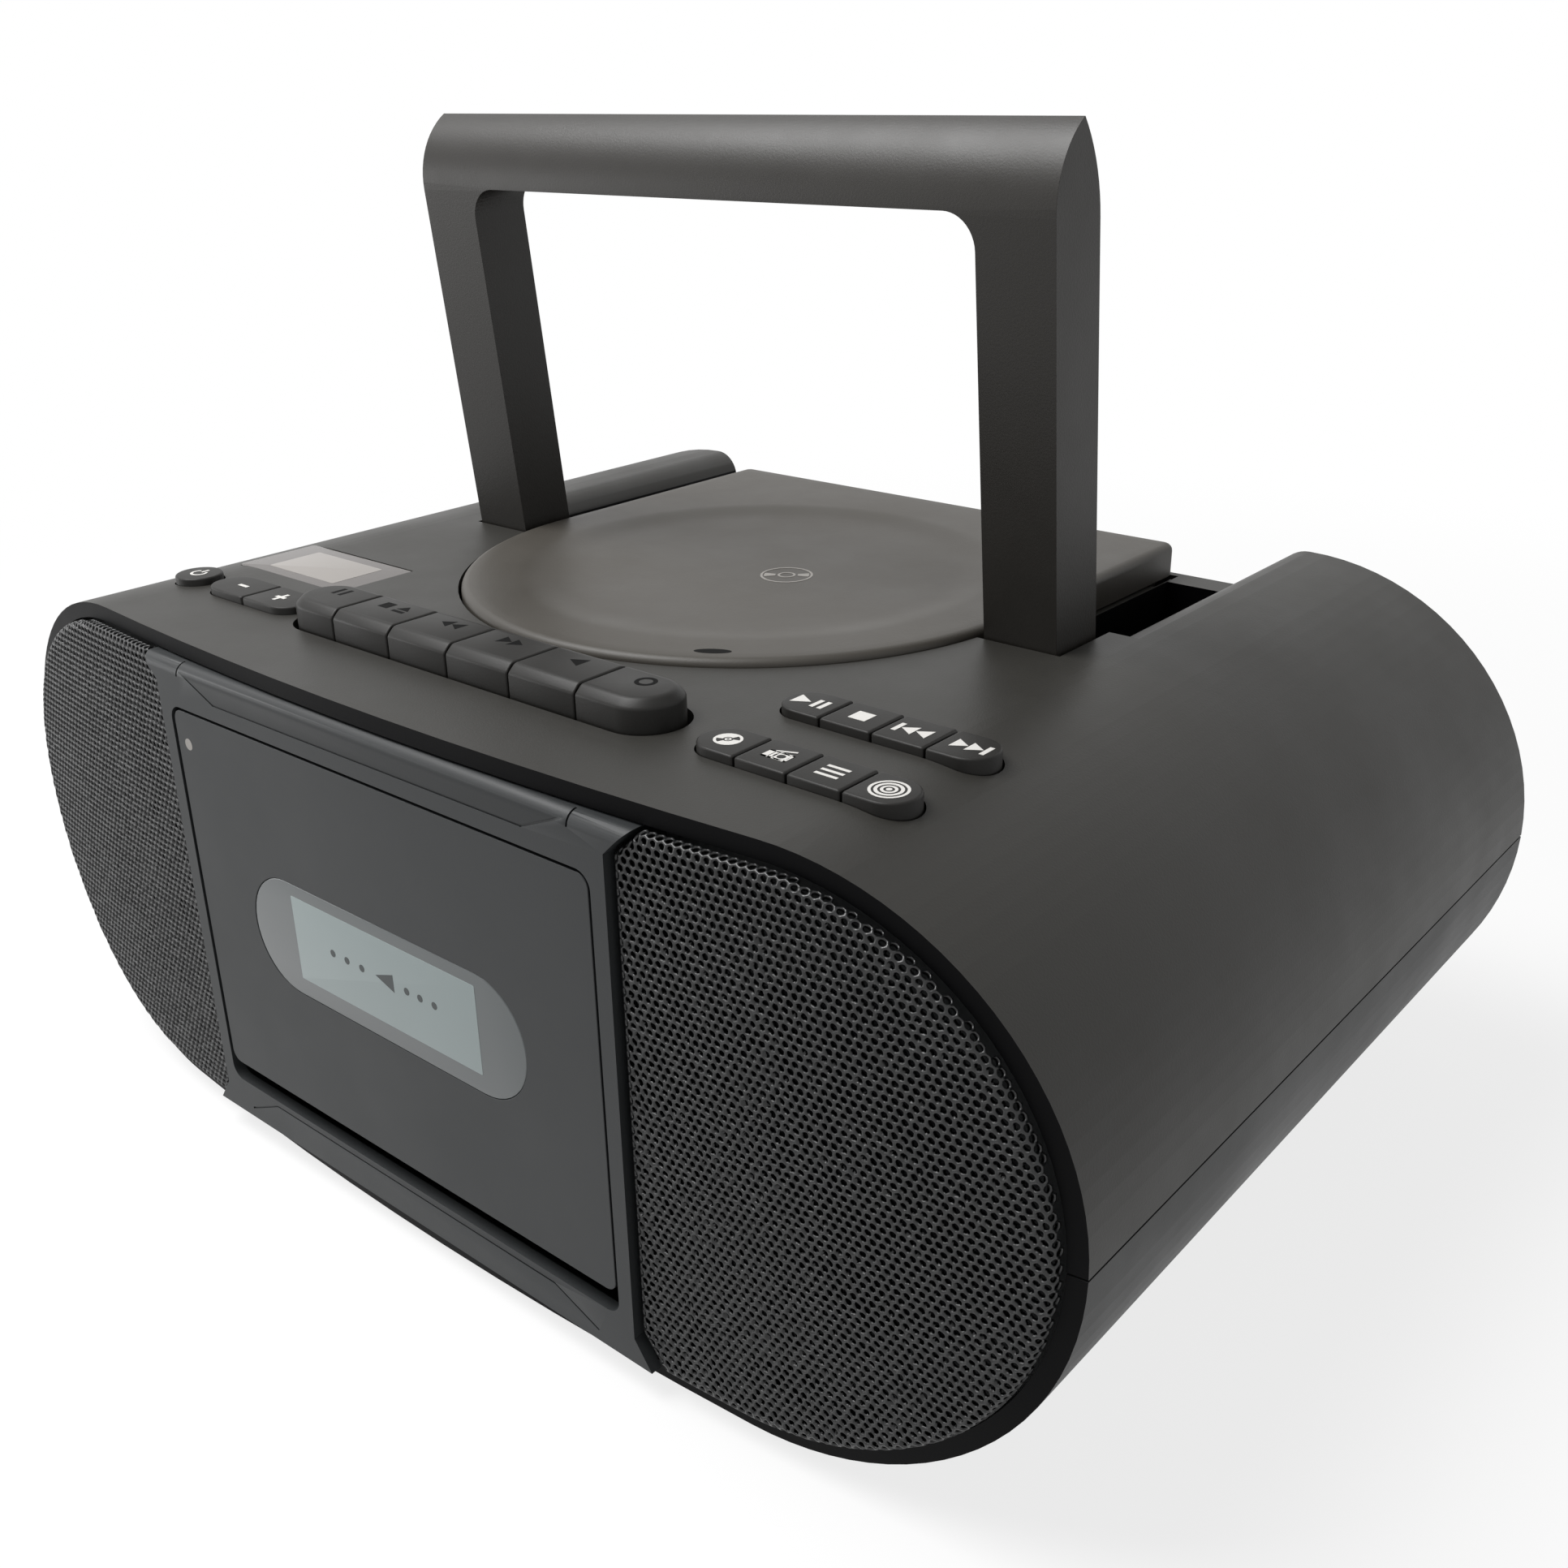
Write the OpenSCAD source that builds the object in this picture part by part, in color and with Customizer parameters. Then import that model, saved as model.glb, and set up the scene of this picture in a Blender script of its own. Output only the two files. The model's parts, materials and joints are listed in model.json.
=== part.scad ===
// Portable radio, disc and cassette player with a fold-back handle.
// Millimetres. Origin: centre of the footprint, on the floor. +X is to the right, +Y is to the back, +Z is up.

/* [Case] */
// Width of the casing
case_w = 350; // [346:1:354]
// Depth of the casing at its shoulders, from the cassette door's face to the back
case_d = 237; // [236:0.5:240]
// Radius of the section's two upper corners
crown_r = 66; // [65:0.5:67]
// Radius of the section's two lower corners
belly_r = 70.5; // [70:0.5:72]
// Thickness of the casing's walls
wall = 3; // [2.5:0.1:3]
// Radius of the bowed front, seen from above
bow_r = 1250; // [1200:10:1400]
// Height of the rubber feet
foot_h = 3; // [2:0.5:5]

/* [Handle] */
// Half of the handle's outer width
handle_half = 99.3; // [99:0.1:99.5]
// Width of each of the handle's arms
arm_w = 19.6; // [19:0.1:19.6]
// Depth of the handle from its front face to its back face
arm_d = 17.3; // [16:0.1:17.3]
// Length of the handle from its pivot to its crest
handle_len = 124.7; // [120:0.5:128]
// Angle at which the raised handle leans forwards
handle_lean = 5.8; // [4:0.1:5.8]

/* [Disc lid] */
// Radius of the lid's round front and half of its width
lid_r = 78.3; // [77.5:0.1:78.3]
// Depth position of the lid's round centre
lid_y = 133; // [133:0.5:133.5]
// Height of the lid's top above the deck
lid_proud = 1.7; // [1:0.1:2.5]

/* [Cassette door] */
// Width of the cassette door
door_w = 144; // [143:0.5:144]
// Height of the cassette door's lower edge
door_z0 = 20.5; // [20.5:0.5:21]
// Height of the cassette door's upper edge
door_z1 = 120; // [118:0.5:120]

/* [Keys and buttons] */
// Distance from one piano key to the next
key_pitch = 20.75; // [20:0.05:20.75]
// Depth of the piano keys
key_d = 17.3; // [16.5:0.1:17.3]
// Height of the piano keys above the deck
key_proud = 7; // [6:0.5:9]
// Distance from one small button to the next
button_pitch = 13.1; // [12.8:0.1:13.2]
// Height of the small buttons above the deck
button_proud = 1.9; // [1.5:0.1:2.5]

/* [Hidden] */
$fn = 96;

// Colours
black_top = "#4a4845";
black_side = "#3b3d3d";
black_key = "#3f3e3c";
mesh_grey = "#4f5051";
steel = "#a8abad";
copper_green = "#2f5a3c";
lens_grey = "#7f8684";

// Places that several parts share. Heights are above the casing's underside, depths from the door's face.
seam_z = belly_r;
deck_z = crown_r + belly_r;
rim_w = 4;
rim_depth = 16.5;
rim_y = 1.8;
mesh_y = -1.1;
mesh_inset = rim_w + 0.4;
mast_out = 9;
mid_y = (case_d + mast_out) / 2;
big = 400;
run = 0.05;
seam_gap = 0.25;

// Handle's slots, the ledge behind them and the recess in the back
slot_in = handle_half - arm_w - 0.4;
slot_out = 100.5;
slot_y0 = 120.9;
slot_y1 = 213;
slot_z = 112;
pocket = 2.4;
ledge_z = 128.4;
middle_y = 222;
recess_z = 118;
shoulder_r = 8;
shoulder_y = 143;
pivot_y = 131.3;
pivot_z = 125;
pivot_r = 2.5;

// Disc lid, its hinge and the well below it
lid_y1 = 218.6;
lid_z0 = 128.9;
lid_z1 = deck_z + lid_proud;
lid_wall = 2;
lid_hinge_y = 212.5;
lid_hinge_z = 132.5;
hinge_pin_r = 1.5;
lid_sweep_r = 7.4;
lug_x = 73.8;
well_z1 = 128.2;
well_r = slot_in - pocket;
disc_r = 62;
spindle_r = 15;
rail_x = 11;
rail_z = 104;
rail_r = 1.5;
rail_y0 = 12.3;
rail_y1 = 70;
pickup_y = 15;

// Front panel and cassette bay
panel_x = 77;
panel_z0 = 4.5;
panel_z1 = 132;
panel_t = 3;
groove_w = 0.5;
grille_x = 77.6;
flare = 5.8;
door_pin_r = 1;
baffle_y = 17;
baffle_t = 3;
door_gap = 0.9;
bay_x = door_w / 2 + door_gap;
bay_z0 = 15;
door_hinge_y = 6;
door_hinge_z = 24;
window_z = 70;
window_l = 98.6;
window_r = 15.3;
reel_x = 21.25;
cassette_z = 36;
cassette_half = 50.6;
reel_z = cassette_z + 29.3;
capstan_x = 36;
capstan_z = cassette_z + 54.3;
play_travel = 5;
pinch_r = 6;
pinch_z = capstan_z + 1 + pinch_r + 0.4 + play_travel;
plate_y = 20;
back_plate_y = 40;
motor_x = -32;
pulley_r = 5;
wheel_r = 22.8;
belt_bite = 0.04;

// Loudspeakers
speaker_x = 125;
speaker_z = 69;
speaker_r = 42;

// Piano keys
key_y0 = 27.3;
key_hinge_y = 49.5;
key_hinge_z = 130;
key_gap = 0.35;
key_clear = 1.2;

// Small buttons
row_x0 = 71.3;
row_far_y = 60.3;
row_near_y = 34.3;
button_r = 6.1;
volume_x = -83.5;
volume_y = 35.6;
volume_l = 37;
power_x = -112;
power_y = 35.1;
button_fit = 0.35;
button_bottom = 130;

// Display window
lcd_x0 = -118;
lcd_x1 = -73;
lcd_y0 = 51;
lcd_y1 = 75.3;

// Mains inlet and headphone socket in the back
inlet_x = -140;
inlet_half = 13;
inlet_z = 48;
inlet_tall = 9;
jack_x = -110;
jack_r = 6;

// Battery bay in the back
bay_half = 80;
battery_z0 = 8;
battery_z1 = 64;
battery_y0 = 204;

// Aerial on the back
mast_x = 128;
mast_z = 106;
mast_y = 242.4;
mast_len = 176;
mast_stub_r = 4;
tube_r = 2.9;

// Casing screws and feet
post_x = 120;
post_ys = [84, 200];
screw_r = 1.5;
screw_z = 60;
foot_x = 85;
foot_ys = [30, 205];
foot_peg_r = 2.5;

// Moves the local frame (door face, underside) to the part's own frame.
module at_body() {
    translate([0, -mid_y, foot_h]) children();
}

// Extrudes a drawing of width and height from one depth to another.
module along_y(y0, y1) {
    translate([0, y1, 0]) rotate([90, 0, 0]) linear_extrude(y1 - y0) children();
}

// Extrudes a drawing of width and depth from one height to another.
module along_z(z0, z1) {
    translate([0, 0, z0]) linear_extrude(z1 - z0) children();
}

// A rod between two widths at one depth and height.
module rod_x(x0, x1, y, z, r) {
    translate([x0, y, z]) rotate([0, 90, 0]) cylinder(r = r, h = x1 - x0);
}

// A rod between two depths at one width and height.
module rod_y(x, z, y0, y1, r) {
    translate([x, y0, z]) rotate([-90, 0, 0]) cylinder(r = r, h = y1 - y0);
}

// A box given by its low and high corners.
module box(low, high) {
    translate(low) cube(high - low);
}

// Outline of a bar with half-round ends, centred.
module pill(l, r) {
    square([l - 2 * r, 2 * r], center = true);
    for (side = [-1, 1]) translate([side * (l / 2 - r), 0]) circle(r);
}

// Outline of a rectangle with rounded corners, from its low corner.
module rounded(w, h, r) {
    translate([r, 0]) square([w - 2 * r, h]);
    translate([0, r]) square([w, h - 2 * r]);
    for (x = [r, w - r], y = [r, h - r]) translate([x, y]) circle(r);
}

// Half of the casing's egg-shaped section: the part above or below the widest line.
module half_section(r, inset, side_sign) {
    centre_x = case_w / 2 - r;
    intersection() {
        translate([0, seam_z]) union() {
            for (side = [-1, 1]) translate([side * centre_x, 0]) circle(r - inset, $fn = 192);
            square([2 * centre_x, 2 * (r - inset)], center = true);
        }
        translate([-big / 2, seam_z + (side_sign > 0 ? 0 : -big)]) square([big, big]);
    }
}

module upper_section(inset) {
    half_section(crown_r, inset, 1);
}

module lower_section(inset) {
    half_section(belly_r, inset, -1);
}

module whole_section(inset) {
    upper_section(inset);
    lower_section(inset);
}

// Everything behind the bowed front, whose middle stands at the depth y.
module behind_bow(y) {
    translate([0, y + bow_r, -big / 2]) cylinder(r = bow_r, h = 2 * big, $fn = 720);
}

// Lid's outline, grown by g, from its round front to the depth y1.
module lid_outline(g, y1) {
    translate([0, lid_y]) circle(lid_r + g, $fn = 192);
    translate([-lid_r - g, lid_y]) square([2 * (lid_r + g), y1 - lid_y]);
}

// Row of four buttons as one pill, centred on its own middle.
module row_outline(g) {
    pill(4 * button_pitch + 2 * g, button_r + g);
}

module row_place(y) {
    translate([row_x0 + 2 * button_pitch, y]) children();
}

// Outline of the six keys together, grown by g at their sides and ends.
module keys_outline(g) {
    translate([0, key_y0 + key_d / 2]) pill(6 * key_pitch + 2 * g, key_d / 2 + g);
}

// All openings in the deck.
module deck_openings() {
    lid_outline(0.8, lid_y + 10);
    translate([-slot_in, slot_y0]) square([2 * slot_in, middle_y - slot_y0]);
    for (side = [-1, 1]) translate([side > 0 ? slot_in - 0.5 : -slot_out, slot_y0])
        square([slot_out - slot_in + 0.5, slot_y1 - slot_y0]);
    translate([-slot_out, slot_y1 - 0.5]) square([2 * slot_out, big]);
    keys_outline(key_clear);
    row_place(row_far_y) row_outline(button_fit);
    row_place(row_near_y) row_outline(button_fit);
    translate([volume_x, volume_y]) pill(volume_l + 2 * button_fit, button_r + button_fit);
    translate([power_x, power_y]) circle(button_r + button_fit);
    translate([lcd_x0, lcd_y0]) square([lcd_x1 - lcd_x0, lcd_y1 - lcd_y0]);
}

// Pocket that holds one arm of the handle, on the right side.
module arm_pocket() {
    difference() {
        box([slot_in - pocket, slot_y0 - pocket, slot_z - pocket],
            [slot_out + pocket, slot_y1 + pocket, deck_z - wall]);
        box([slot_in, slot_y0, slot_z], [slot_out, slot_y1, deck_z]);
        box([0, 0, ledge_z], [slot_in + 0.1, case_d, deck_z]);
        box([0, slot_y1 - 0.1, ledge_z], [slot_out, case_d, deck_z]);
        rod_x(0, big, pivot_y, pivot_z, pivot_r + run);
    }
}

// Ledge, recess floor and walls at the back, between the shoulders.
module back_recess() {
    for (side = [-1, 1]) mirror([side < 0 ? 1 : 0, 0, 0]) {
        box([slot_in, slot_y1 + pocket, ledge_z - pocket], [slot_out, middle_y - pocket, ledge_z]);
        box([slot_out, slot_y1 + pocket, recess_z - pocket], [slot_out + pocket, case_d - wall, deck_z - wall]);
        box([slot_in - 0.1, slot_y1 + pocket, 122], [slot_in + pocket, middle_y - pocket, ledge_z]);
    }
    box([-slot_out, middle_y - pocket, recess_z], [slot_out, middle_y, ledge_z]);
    box([-slot_out, middle_y - pocket, recess_z - pocket], [slot_out, case_d - wall, recess_z]);
    box([-slot_in, 205, 122], [slot_in, middle_y - pocket, 124.4]);
    for (side = [-1, 1]) lid_lug(side * lug_x);
}

// Lug that carries one hinge pin of the lid.
module lid_lug(x) {
    difference() {
        union() {
            box([x - 1.8, lid_hinge_y - 2.9, 124.4], [x + 1.8, lid_hinge_y + 0.6, lid_hinge_z]);
            rod_x(x - 1.8, x + 1.8, lid_hinge_y, lid_hinge_z, 2.9);
        }
        rod_x(x - 3, x + 3, lid_hinge_y, lid_hinge_z, hinge_pin_r + run);
    }
}

// Rib under the deck that holds one end of the keys' shaft.
module shaft_rib(x) {
    difference() {
        box([x - 1.2, key_hinge_y - 3.5, key_hinge_z - 4], [x + 1.2, key_hinge_y + 3.5, deck_z - wall + 0.1]);
        rod_x(x - 2, x + 2, key_hinge_y, key_hinge_z, hinge_pin_r + run);
    }
}

// Shell of one half of the casing, closed at the back, with a thicker rim at the front.
module half_shell(r, side_sign) {
    intersection() {
        union() {
            along_y(0, case_d) difference() {
                half_section(r, 0, side_sign);
                half_section(r, wall, side_sign);
            }
            along_y(0, rim_depth) difference() {
                half_section(r, 0, side_sign);
                half_section(r, rim_w, side_sign);
            }
            along_y(case_d - wall, case_d) half_section(r, 0, side_sign);
        }
        behind_bow(rim_y);
    }
}

// Solid corner behind the shoulder's rounded inner edge, on the right side.
module shoulder_fill() {
    box([slot_out, shoulder_y - pocket, deck_z - shoulder_r - wall],
        [slot_out + shoulder_r + wall, case_d - wall + 0.1, deck_z - wall + 0.1]);
}

// What is cut away to round the shoulder's inner edge, on the right side.
module shoulder_round() {
    along_y(shoulder_y, case_d + 1) difference() {
        translate([slot_out - 1, deck_z - shoulder_r]) square([shoulder_r + 1, shoulder_r + 1]);
        translate([slot_out + shoulder_r, deck_z - shoulder_r]) circle(shoulder_r);
    }
}

// Calls its children at each casing screw.
module at_posts() {
    for (x = [-post_x, post_x], y = post_ys) translate([x, y, 0]) children();
}

module upper_cabinet() {
    color(black_top) at_body() difference() {
        union() {
            difference() {
                union() {
                    half_shell(crown_r, 1);
                    at_posts() translate([0, 0, seam_z]) cylinder(r = 5, h = crown_r - wall);
                }
                box([-big / 2, -1, 0], [big / 2, case_d + 1, seam_z + seam_gap]);
                along_z(button_bottom - button_fit, big) deck_openings();
                box([-slot_out, case_d - wall - 1, recess_z], [slot_out, case_d + 1, big]);
                at_posts() cylinder(r = screw_r + run, h = seam_z + 16);
                rod_y(mast_x, mast_z, case_d - wall - 1, case_d + 1, mast_stub_r + run);
            }
            for (side = [0, 1]) mirror([side, 0, 0]) {
                difference() {
                    arm_pocket();
                    rod_x(0, lid_r + 0.5, lid_hinge_y, lid_hinge_z, lid_sweep_r);
                }
                shaft_rib(64.9);
                shoulder_fill();
            }
            back_recess();
        }
        for (side = [0, 1]) mirror([side, 0, 0]) shoulder_round();
    }
}

// Battery bay's walls, open at the back.
module battery_bay() {
    difference() {
        box([-bay_half - 2, battery_y0 - 2, battery_z0 - 2], [bay_half + 2, case_d - wall, battery_z1 + 2]);
        box([-bay_half, battery_y0, battery_z0], [bay_half, case_d, battery_z1]);
    }
}

module lower_cabinet() {
    lip = wall + 0.15;
    color(black_side) at_body() difference() {
        union() {
            difference() {
                half_shell(belly_r, -1);
                box([-big / 2, -1, seam_z - seam_gap], [big / 2, case_d + 1, big]);
            }
            along_y(rim_depth + 4, case_d - wall) difference() {
                whole_section(lip - 0.3);
                whole_section(lip + 1.5);
                translate([-big / 2, -big]) square([big, big + seam_z - 4]);
                translate([-big / 2, seam_z - 0.5]) square([big, big]);
            }
            at_posts() translate([0, 0, wall - 1]) cylinder(r = 6, h = seam_z - seam_gap - wall + 1);
            battery_bay();
        }
        box([-bay_half - 0.01, case_d - wall - 0.1, battery_z0 - 1], [bay_half + 0.01, case_d + 1, battery_z1 + 1]);
        at_posts() translate([0, 0, -1]) cylinder(r = 4, h = screw_z + 1);
        at_posts() cylinder(r = screw_r + 0.2, h = seam_z + 1);
        for (x = [-foot_x, foot_x], y = foot_ys) translate([x, y, -1]) cylinder(r = foot_peg_r + run, h = 6);
        box([inlet_x - inlet_half - run, case_d - wall - 1, inlet_z - inlet_tall - run],
            [inlet_x + inlet_half + run, case_d + 1, inlet_z + inlet_tall + run]);
        rod_y(jack_x, inlet_z, case_d - wall - 1, case_d + 1, jack_r + run);
    }
}

// Straight groove from p to q in a drawing.
module groove_line(p, q) {
    run_xy = q - p;
    translate(p) rotate(atan2(run_xy[1], run_xy[0])) translate([-groove_w / 2, -groove_w / 2])
        square([norm(run_xy) + groove_w, groove_w]);
}

// Groove through a list of points.
module groove(points) {
    for (i = [0 : len(points) - 2]) groove_line(points[i], points[i + 1]);
}

// Front panel's outline: a rectangle whose four corners flare out beside the grilles.
module panel_outline() {
    for (side = [0, 1]) mirror([side, 0, 0]) polygon([[-1, panel_z0], [panel_x + flare - 1, panel_z0],
        [panel_x, panel_z0 + flare + 1], [panel_x, panel_z1 - flare], [panel_x + flare, panel_z1], [-1, panel_z1]]);
}

// Slot across the panel's rolled upper edge, on the right side.
module edge_slot() {
    intersection() {
        difference() {
            rod_x(67.2, 67.2 + groove_w, panel_t, panel_z1 - panel_t, panel_t + 1);
            rod_x(66, 69, panel_t, panel_z1 - panel_t, panel_t - 0.5);
        }
        box([60, -2, panel_z1 - panel_t], [70, panel_t, panel_z1 + 1]);
    }
}

module front_panel() {
    flank_x = panel_x - panel_t;
    color(black_side) at_body() difference() {
        union() {
            intersection() {
                union() {
                    box([-big, 0, panel_z0], [big, panel_t, panel_z1 - panel_t]);
                    rod_x(-big, big, panel_t, panel_z1 - panel_t, panel_t);
                    box([-big, panel_t, panel_z1 - panel_t], [big, 2 * panel_t, panel_z1]);
                }
                along_y(-1, 2 * panel_t + 1) panel_outline();
            }
            for (side = [0, 1]) mirror([side, 0, 0])
                box([flank_x, panel_t - 0.1, panel_z0], [panel_x, baffle_y + 0.1, panel_z1]);
            along_y(baffle_y, baffle_y + baffle_t) difference() {
                whole_section(wall + 0.3);
                translate([-flank_x, 0]) square([2 * flank_x, big]);
                for (side = [-1, 1]) translate([side * speaker_x, speaker_z]) circle(speaker_r - 4);
            }
        }
        along_y(-1, panel_t + 0.1) translate([-bay_x, bay_z0])
            rounded(2 * bay_x, door_z1 + door_gap - bay_z0, 3 + door_gap);
        for (side = [0, 1]) mirror([side, 0, 0]) edge_slot();
        translate([0, -0.1, 0]) along_y(0, 0.4) {
            groove([[-67.5, 131], [-53.1, 125], [54.1, 125.4], [67.2, 131]]);
            groove([[-66, 7.5], [-53.8, 13.2], [52.1, 12.9], [65.7, 7.5]]);
        }
        rod_x(-panel_x - 1, panel_x + 1, door_hinge_y, door_hinge_z, door_pin_r + run);
    }
}

// Outline of the right-hand grille, shrunk by g, with its inner corners cut off.
module grille_outline(g) {
    difference() {
        whole_section(mesh_inset + g);
        translate([-big, -big]) square([big + grille_x + g, 2 * big]);
        polygon([[grille_x - 1, 125], [grille_x + g, 126], [grille_x + 7 + g, 132.8 - g], [grille_x + 7, 140],
            [grille_x - 1, 140]]);
        polygon([[grille_x - 1, 14], [grille_x + g, 12.5], [grille_x + 6 + g, 4.4 + g], [grille_x + 6, -2],
            [grille_x - 1, -2]]);
    }
}

// Bowed sheet with a rim turned back all round; its holes are left to the finished skin.
module grille() {
    sheet = 1.2;
    difference() {
        intersection() {
            along_y(-5, 20) grille_outline(0);
            behind_bow(mesh_y);
        }
        intersection() {
            along_y(-5, 30) grille_outline(sheet);
            behind_bow(mesh_y + sheet);
        }
        behind_bow(mesh_y + 5);
    }
}

module grille_left() {
    color(mesh_grey) at_body() mirror([1, 0, 0]) grille();
}

module grille_right() {
    color(mesh_grey) at_body() grille();
}

// Places a shape of revolution on each loudspeaker's axis, its own +Z towards the back.
module at_speakers() {
    for (side = [-1, 1]) translate([side * speaker_x, baffle_y + baffle_t, speaker_z]) rotate([-90, 0, 0]) children();
}

module speaker_baskets() {
    color(steel) at_body() at_speakers() rotate_extrude() polygon([[speaker_r - 4, 0], [speaker_r, 0],
        [speaker_r, 1.6], [speaker_r - 3, 1.6], [23, 22], [16, 22], [16, 20.4], [22, 20.4], [speaker_r - 4, 1.2]]);
}

module speaker_cones() {
    color("#26272a") at_body() at_speakers() {
        rotate_extrude() polygon([[speaker_r - 4.4, 0.2], [speaker_r - 6, -0.6], [speaker_r - 8, 0.6], [14, 15],
            [14, 16], [speaker_r - 8, 1.6], [speaker_r - 4.4, 1]]);
        translate([0, 0, 15]) cylinder(r = 14, h = 1.6);
    }
}

module speaker_magnets() {
    color(steel) at_body() at_speakers() translate([0, 0, 22.1]) {
        cylinder(r = 24, h = 3);
        translate([0, 0, 3]) cylinder(r = 27, h = 12);
        translate([0, 0, 15]) cylinder(r = 24, h = 3);
    }
}

module cd_lid() {
    color("#5b5753") at_body() difference() {
        union() {
            difference() {
                along_z(lid_z0, lid_z1) lid_outline(0, lid_y1);
                along_z(lid_z0 - 1, lid_z1 - lid_wall) lid_outline(-lid_wall, lid_y1 - lid_wall);
            }
            for (side = [0, 1]) mirror([side, 0, 0]) {
                rod_x(60, lug_x - 2.1, lid_hinge_y, lid_hinge_z, 2.9);
                box([60, lid_hinge_y - 2.9, lid_hinge_z], [lug_x - 2.1, lid_hinge_y + 2.9, lid_z1 - lid_wall + 0.1]);
            }
        }
        for (side = [0, 1]) mirror([side, 0, 0])
            rod_x(59, lug_x, lid_hinge_y, lid_hinge_z, hinge_pin_r + run);
    }
}

module cd_clamp() {
    color("#303234") at_body() translate([0, lid_y, 0]) difference() {
        union() {
            translate([0, 0, 126]) cylinder(r = 12, h = lid_z1 - lid_wall - 126);
            translate([0, 0, 126]) cylinder(r = 15, h = 2.4);
        }
        translate([0, 0, 125]) cylinder(r = 8, h = 4);
    }
}

// Well's outline: wide below the deck at the front, narrow between the handle's pockets.
module well_outline() {
    intersection() {
        translate([0, lid_y]) circle(lid_r + 2.5);
        translate([-big / 2, 0]) square([big, slot_y0 - pocket - 0.2]);
    }
    translate([0.2 - well_r, slot_y0 - pocket - 1]) square([2 * well_r - 0.4, 204.8 - slot_y0 + pocket + 1]);
}

module cd_well() {
    floor_z = 119;
    color(black_key) at_body() difference() {
        union() {
            along_z(well_z1 - 2.4, well_z1) well_outline();
            translate([0, lid_y, floor_z - 2.4]) cylinder(r = disc_r + 2.4, h = well_z1 - floor_z + 2);
        }
        translate([0, lid_y, floor_z]) cylinder(r = disc_r, h = 20);
        translate([0, lid_y, floor_z - 5]) cylinder(r = spindle_r + 1.5, h = 10);
        translate([-12, lid_y, floor_z - 5]) cube([24, 62, 10]);
        along_z(well_z1, big) square([big, big], center = true);
    }
}

module cd_sled() {
    color(steel) at_body() difference() {
        union() {
            box([-26, lid_y - 22, 108], [26, lid_y + 70, 109.6]);
            for (y = [rail_y0, rail_y1 - 4]) box([-15, lid_y + y, 101], [15, lid_y + y + 2, 108.1]);
        }
        translate([-14.6, lid_y + rail_y0 + 2.1, 100]) cube([29.2, 51, 20]);
        translate([0, lid_y, 100]) cylinder(r = 4, h = 20);
        for (x = [-rail_x, rail_x]) rod_y(x, rail_z, lid_y + rail_y0 - 1, lid_y + rail_y1 + 1, rail_r + run);
    }
}

module cd_spindle() {
    color("#2b2c2e") at_body() translate([0, lid_y, 0]) {
        translate([0, 0, 119.4]) cylinder(r = spindle_r, h = 2);
        translate([0, 0, 121.4]) cylinder(r = 7.4, h = 1.6);
        translate([0, 0, 123]) cylinder(r1 = 7.4, r2 = 6, h = 1.4);
        translate([0, 0, 99]) cylinder(r = 1, h = 21);
    }
}

module pickup_rails() {
    color(steel) at_body() for (x = [-rail_x, rail_x]) rod_y(x, rail_z, lid_y + rail_y0, lid_y + rail_y1, rail_r);
}

module optical_pickup() {
    color("#26282a") at_body() difference() {
        union() {
            box([-14, lid_y + pickup_y, 100.5], [14, lid_y + pickup_y + 15, 107.5]);
            box([-9, lid_y + pickup_y + 2, 107.4], [9, lid_y + pickup_y + 13, 115]);
            translate([0, lid_y + pickup_y + 7.5, 115]) cylinder(r = 3.2, h = 1.4);
        }
        for (x = [-rail_x, rail_x]) rod_y(x, rail_z, lid_y, lid_y + 60, rail_r + run);
    }
}

// Lens window's outline, grown by g.
module window_outline(g) {
    translate([0, window_z]) pill(window_l + 2 * g, window_r + g);
}

module cassette_door() {
    ear_x0 = 66;
    ear_x1 = 70;
    color(black_side) at_body() difference() {
        union() {
            along_y(0.2, panel_t) difference() {
                translate([-door_w / 2, door_z0]) rounded(door_w, door_z1 - door_z0, 3);
                window_outline(run);
            }
            for (side = [0, 1]) mirror([side, 0, 0]) {
                rod_x(ear_x0, ear_x1, door_hinge_y, door_hinge_z, 2.6);
                box([ear_x0, panel_t - 0.1, door_hinge_z - 2.6], [ear_x1, door_hinge_y, door_hinge_z + 2.6]);
            }
        }
        rod_x(-door_w, door_w, door_hinge_y, door_hinge_z, door_pin_r + run);
    }
}

module cassette_window() {
    color(lens_grey) at_body() along_y(0.5, 2.6) window_outline(0);
}

module cassette_holder() {
    side = cassette_half + 2;
    color(black_key) at_body() {
        box([-side, panel_t, cassette_z - 2], [side, 18.5, cassette_z]);
        box([-side, 17, cassette_z - 0.1], [side, 18.5, cassette_z + 20]);
        for (s = [0, 1]) mirror([s, 0, 0])
            box([cassette_half, panel_t, cassette_z - 0.1], [side, 18.5, cassette_z + 26]);
    }
}

module tape_chassis() {
    color(steel) at_body() {
        difference() {
            box([-62, plate_y, 30], [62, plate_y + 1.5, 112]);
            for (side = [-1, 1]) rod_y(side * reel_x, reel_z, plate_y - 1, plate_y + 3, 5.4);
            rod_y(capstan_x, capstan_z, plate_y - 1, plate_y + 3, 1.5);
        }
        difference() {
            box([-62, back_plate_y, 30], [62, back_plate_y + 1.5, 118]);
            rod_y(capstan_x, capstan_z, back_plate_y - 1, back_plate_y + 3, 1.05);
            rod_y(motor_x, capstan_z, back_plate_y - 1, back_plate_y + 3, 3);
        }
        for (side = [-1, 1]) rod_y(side * reel_x, reel_z, 27, back_plate_y + 0.1, 1.5);
        for (x = [-58, 58], z = [36, 106]) rod_y(x, z, plate_y + 1, back_plate_y + 1, 2.5);
    }
}

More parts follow.
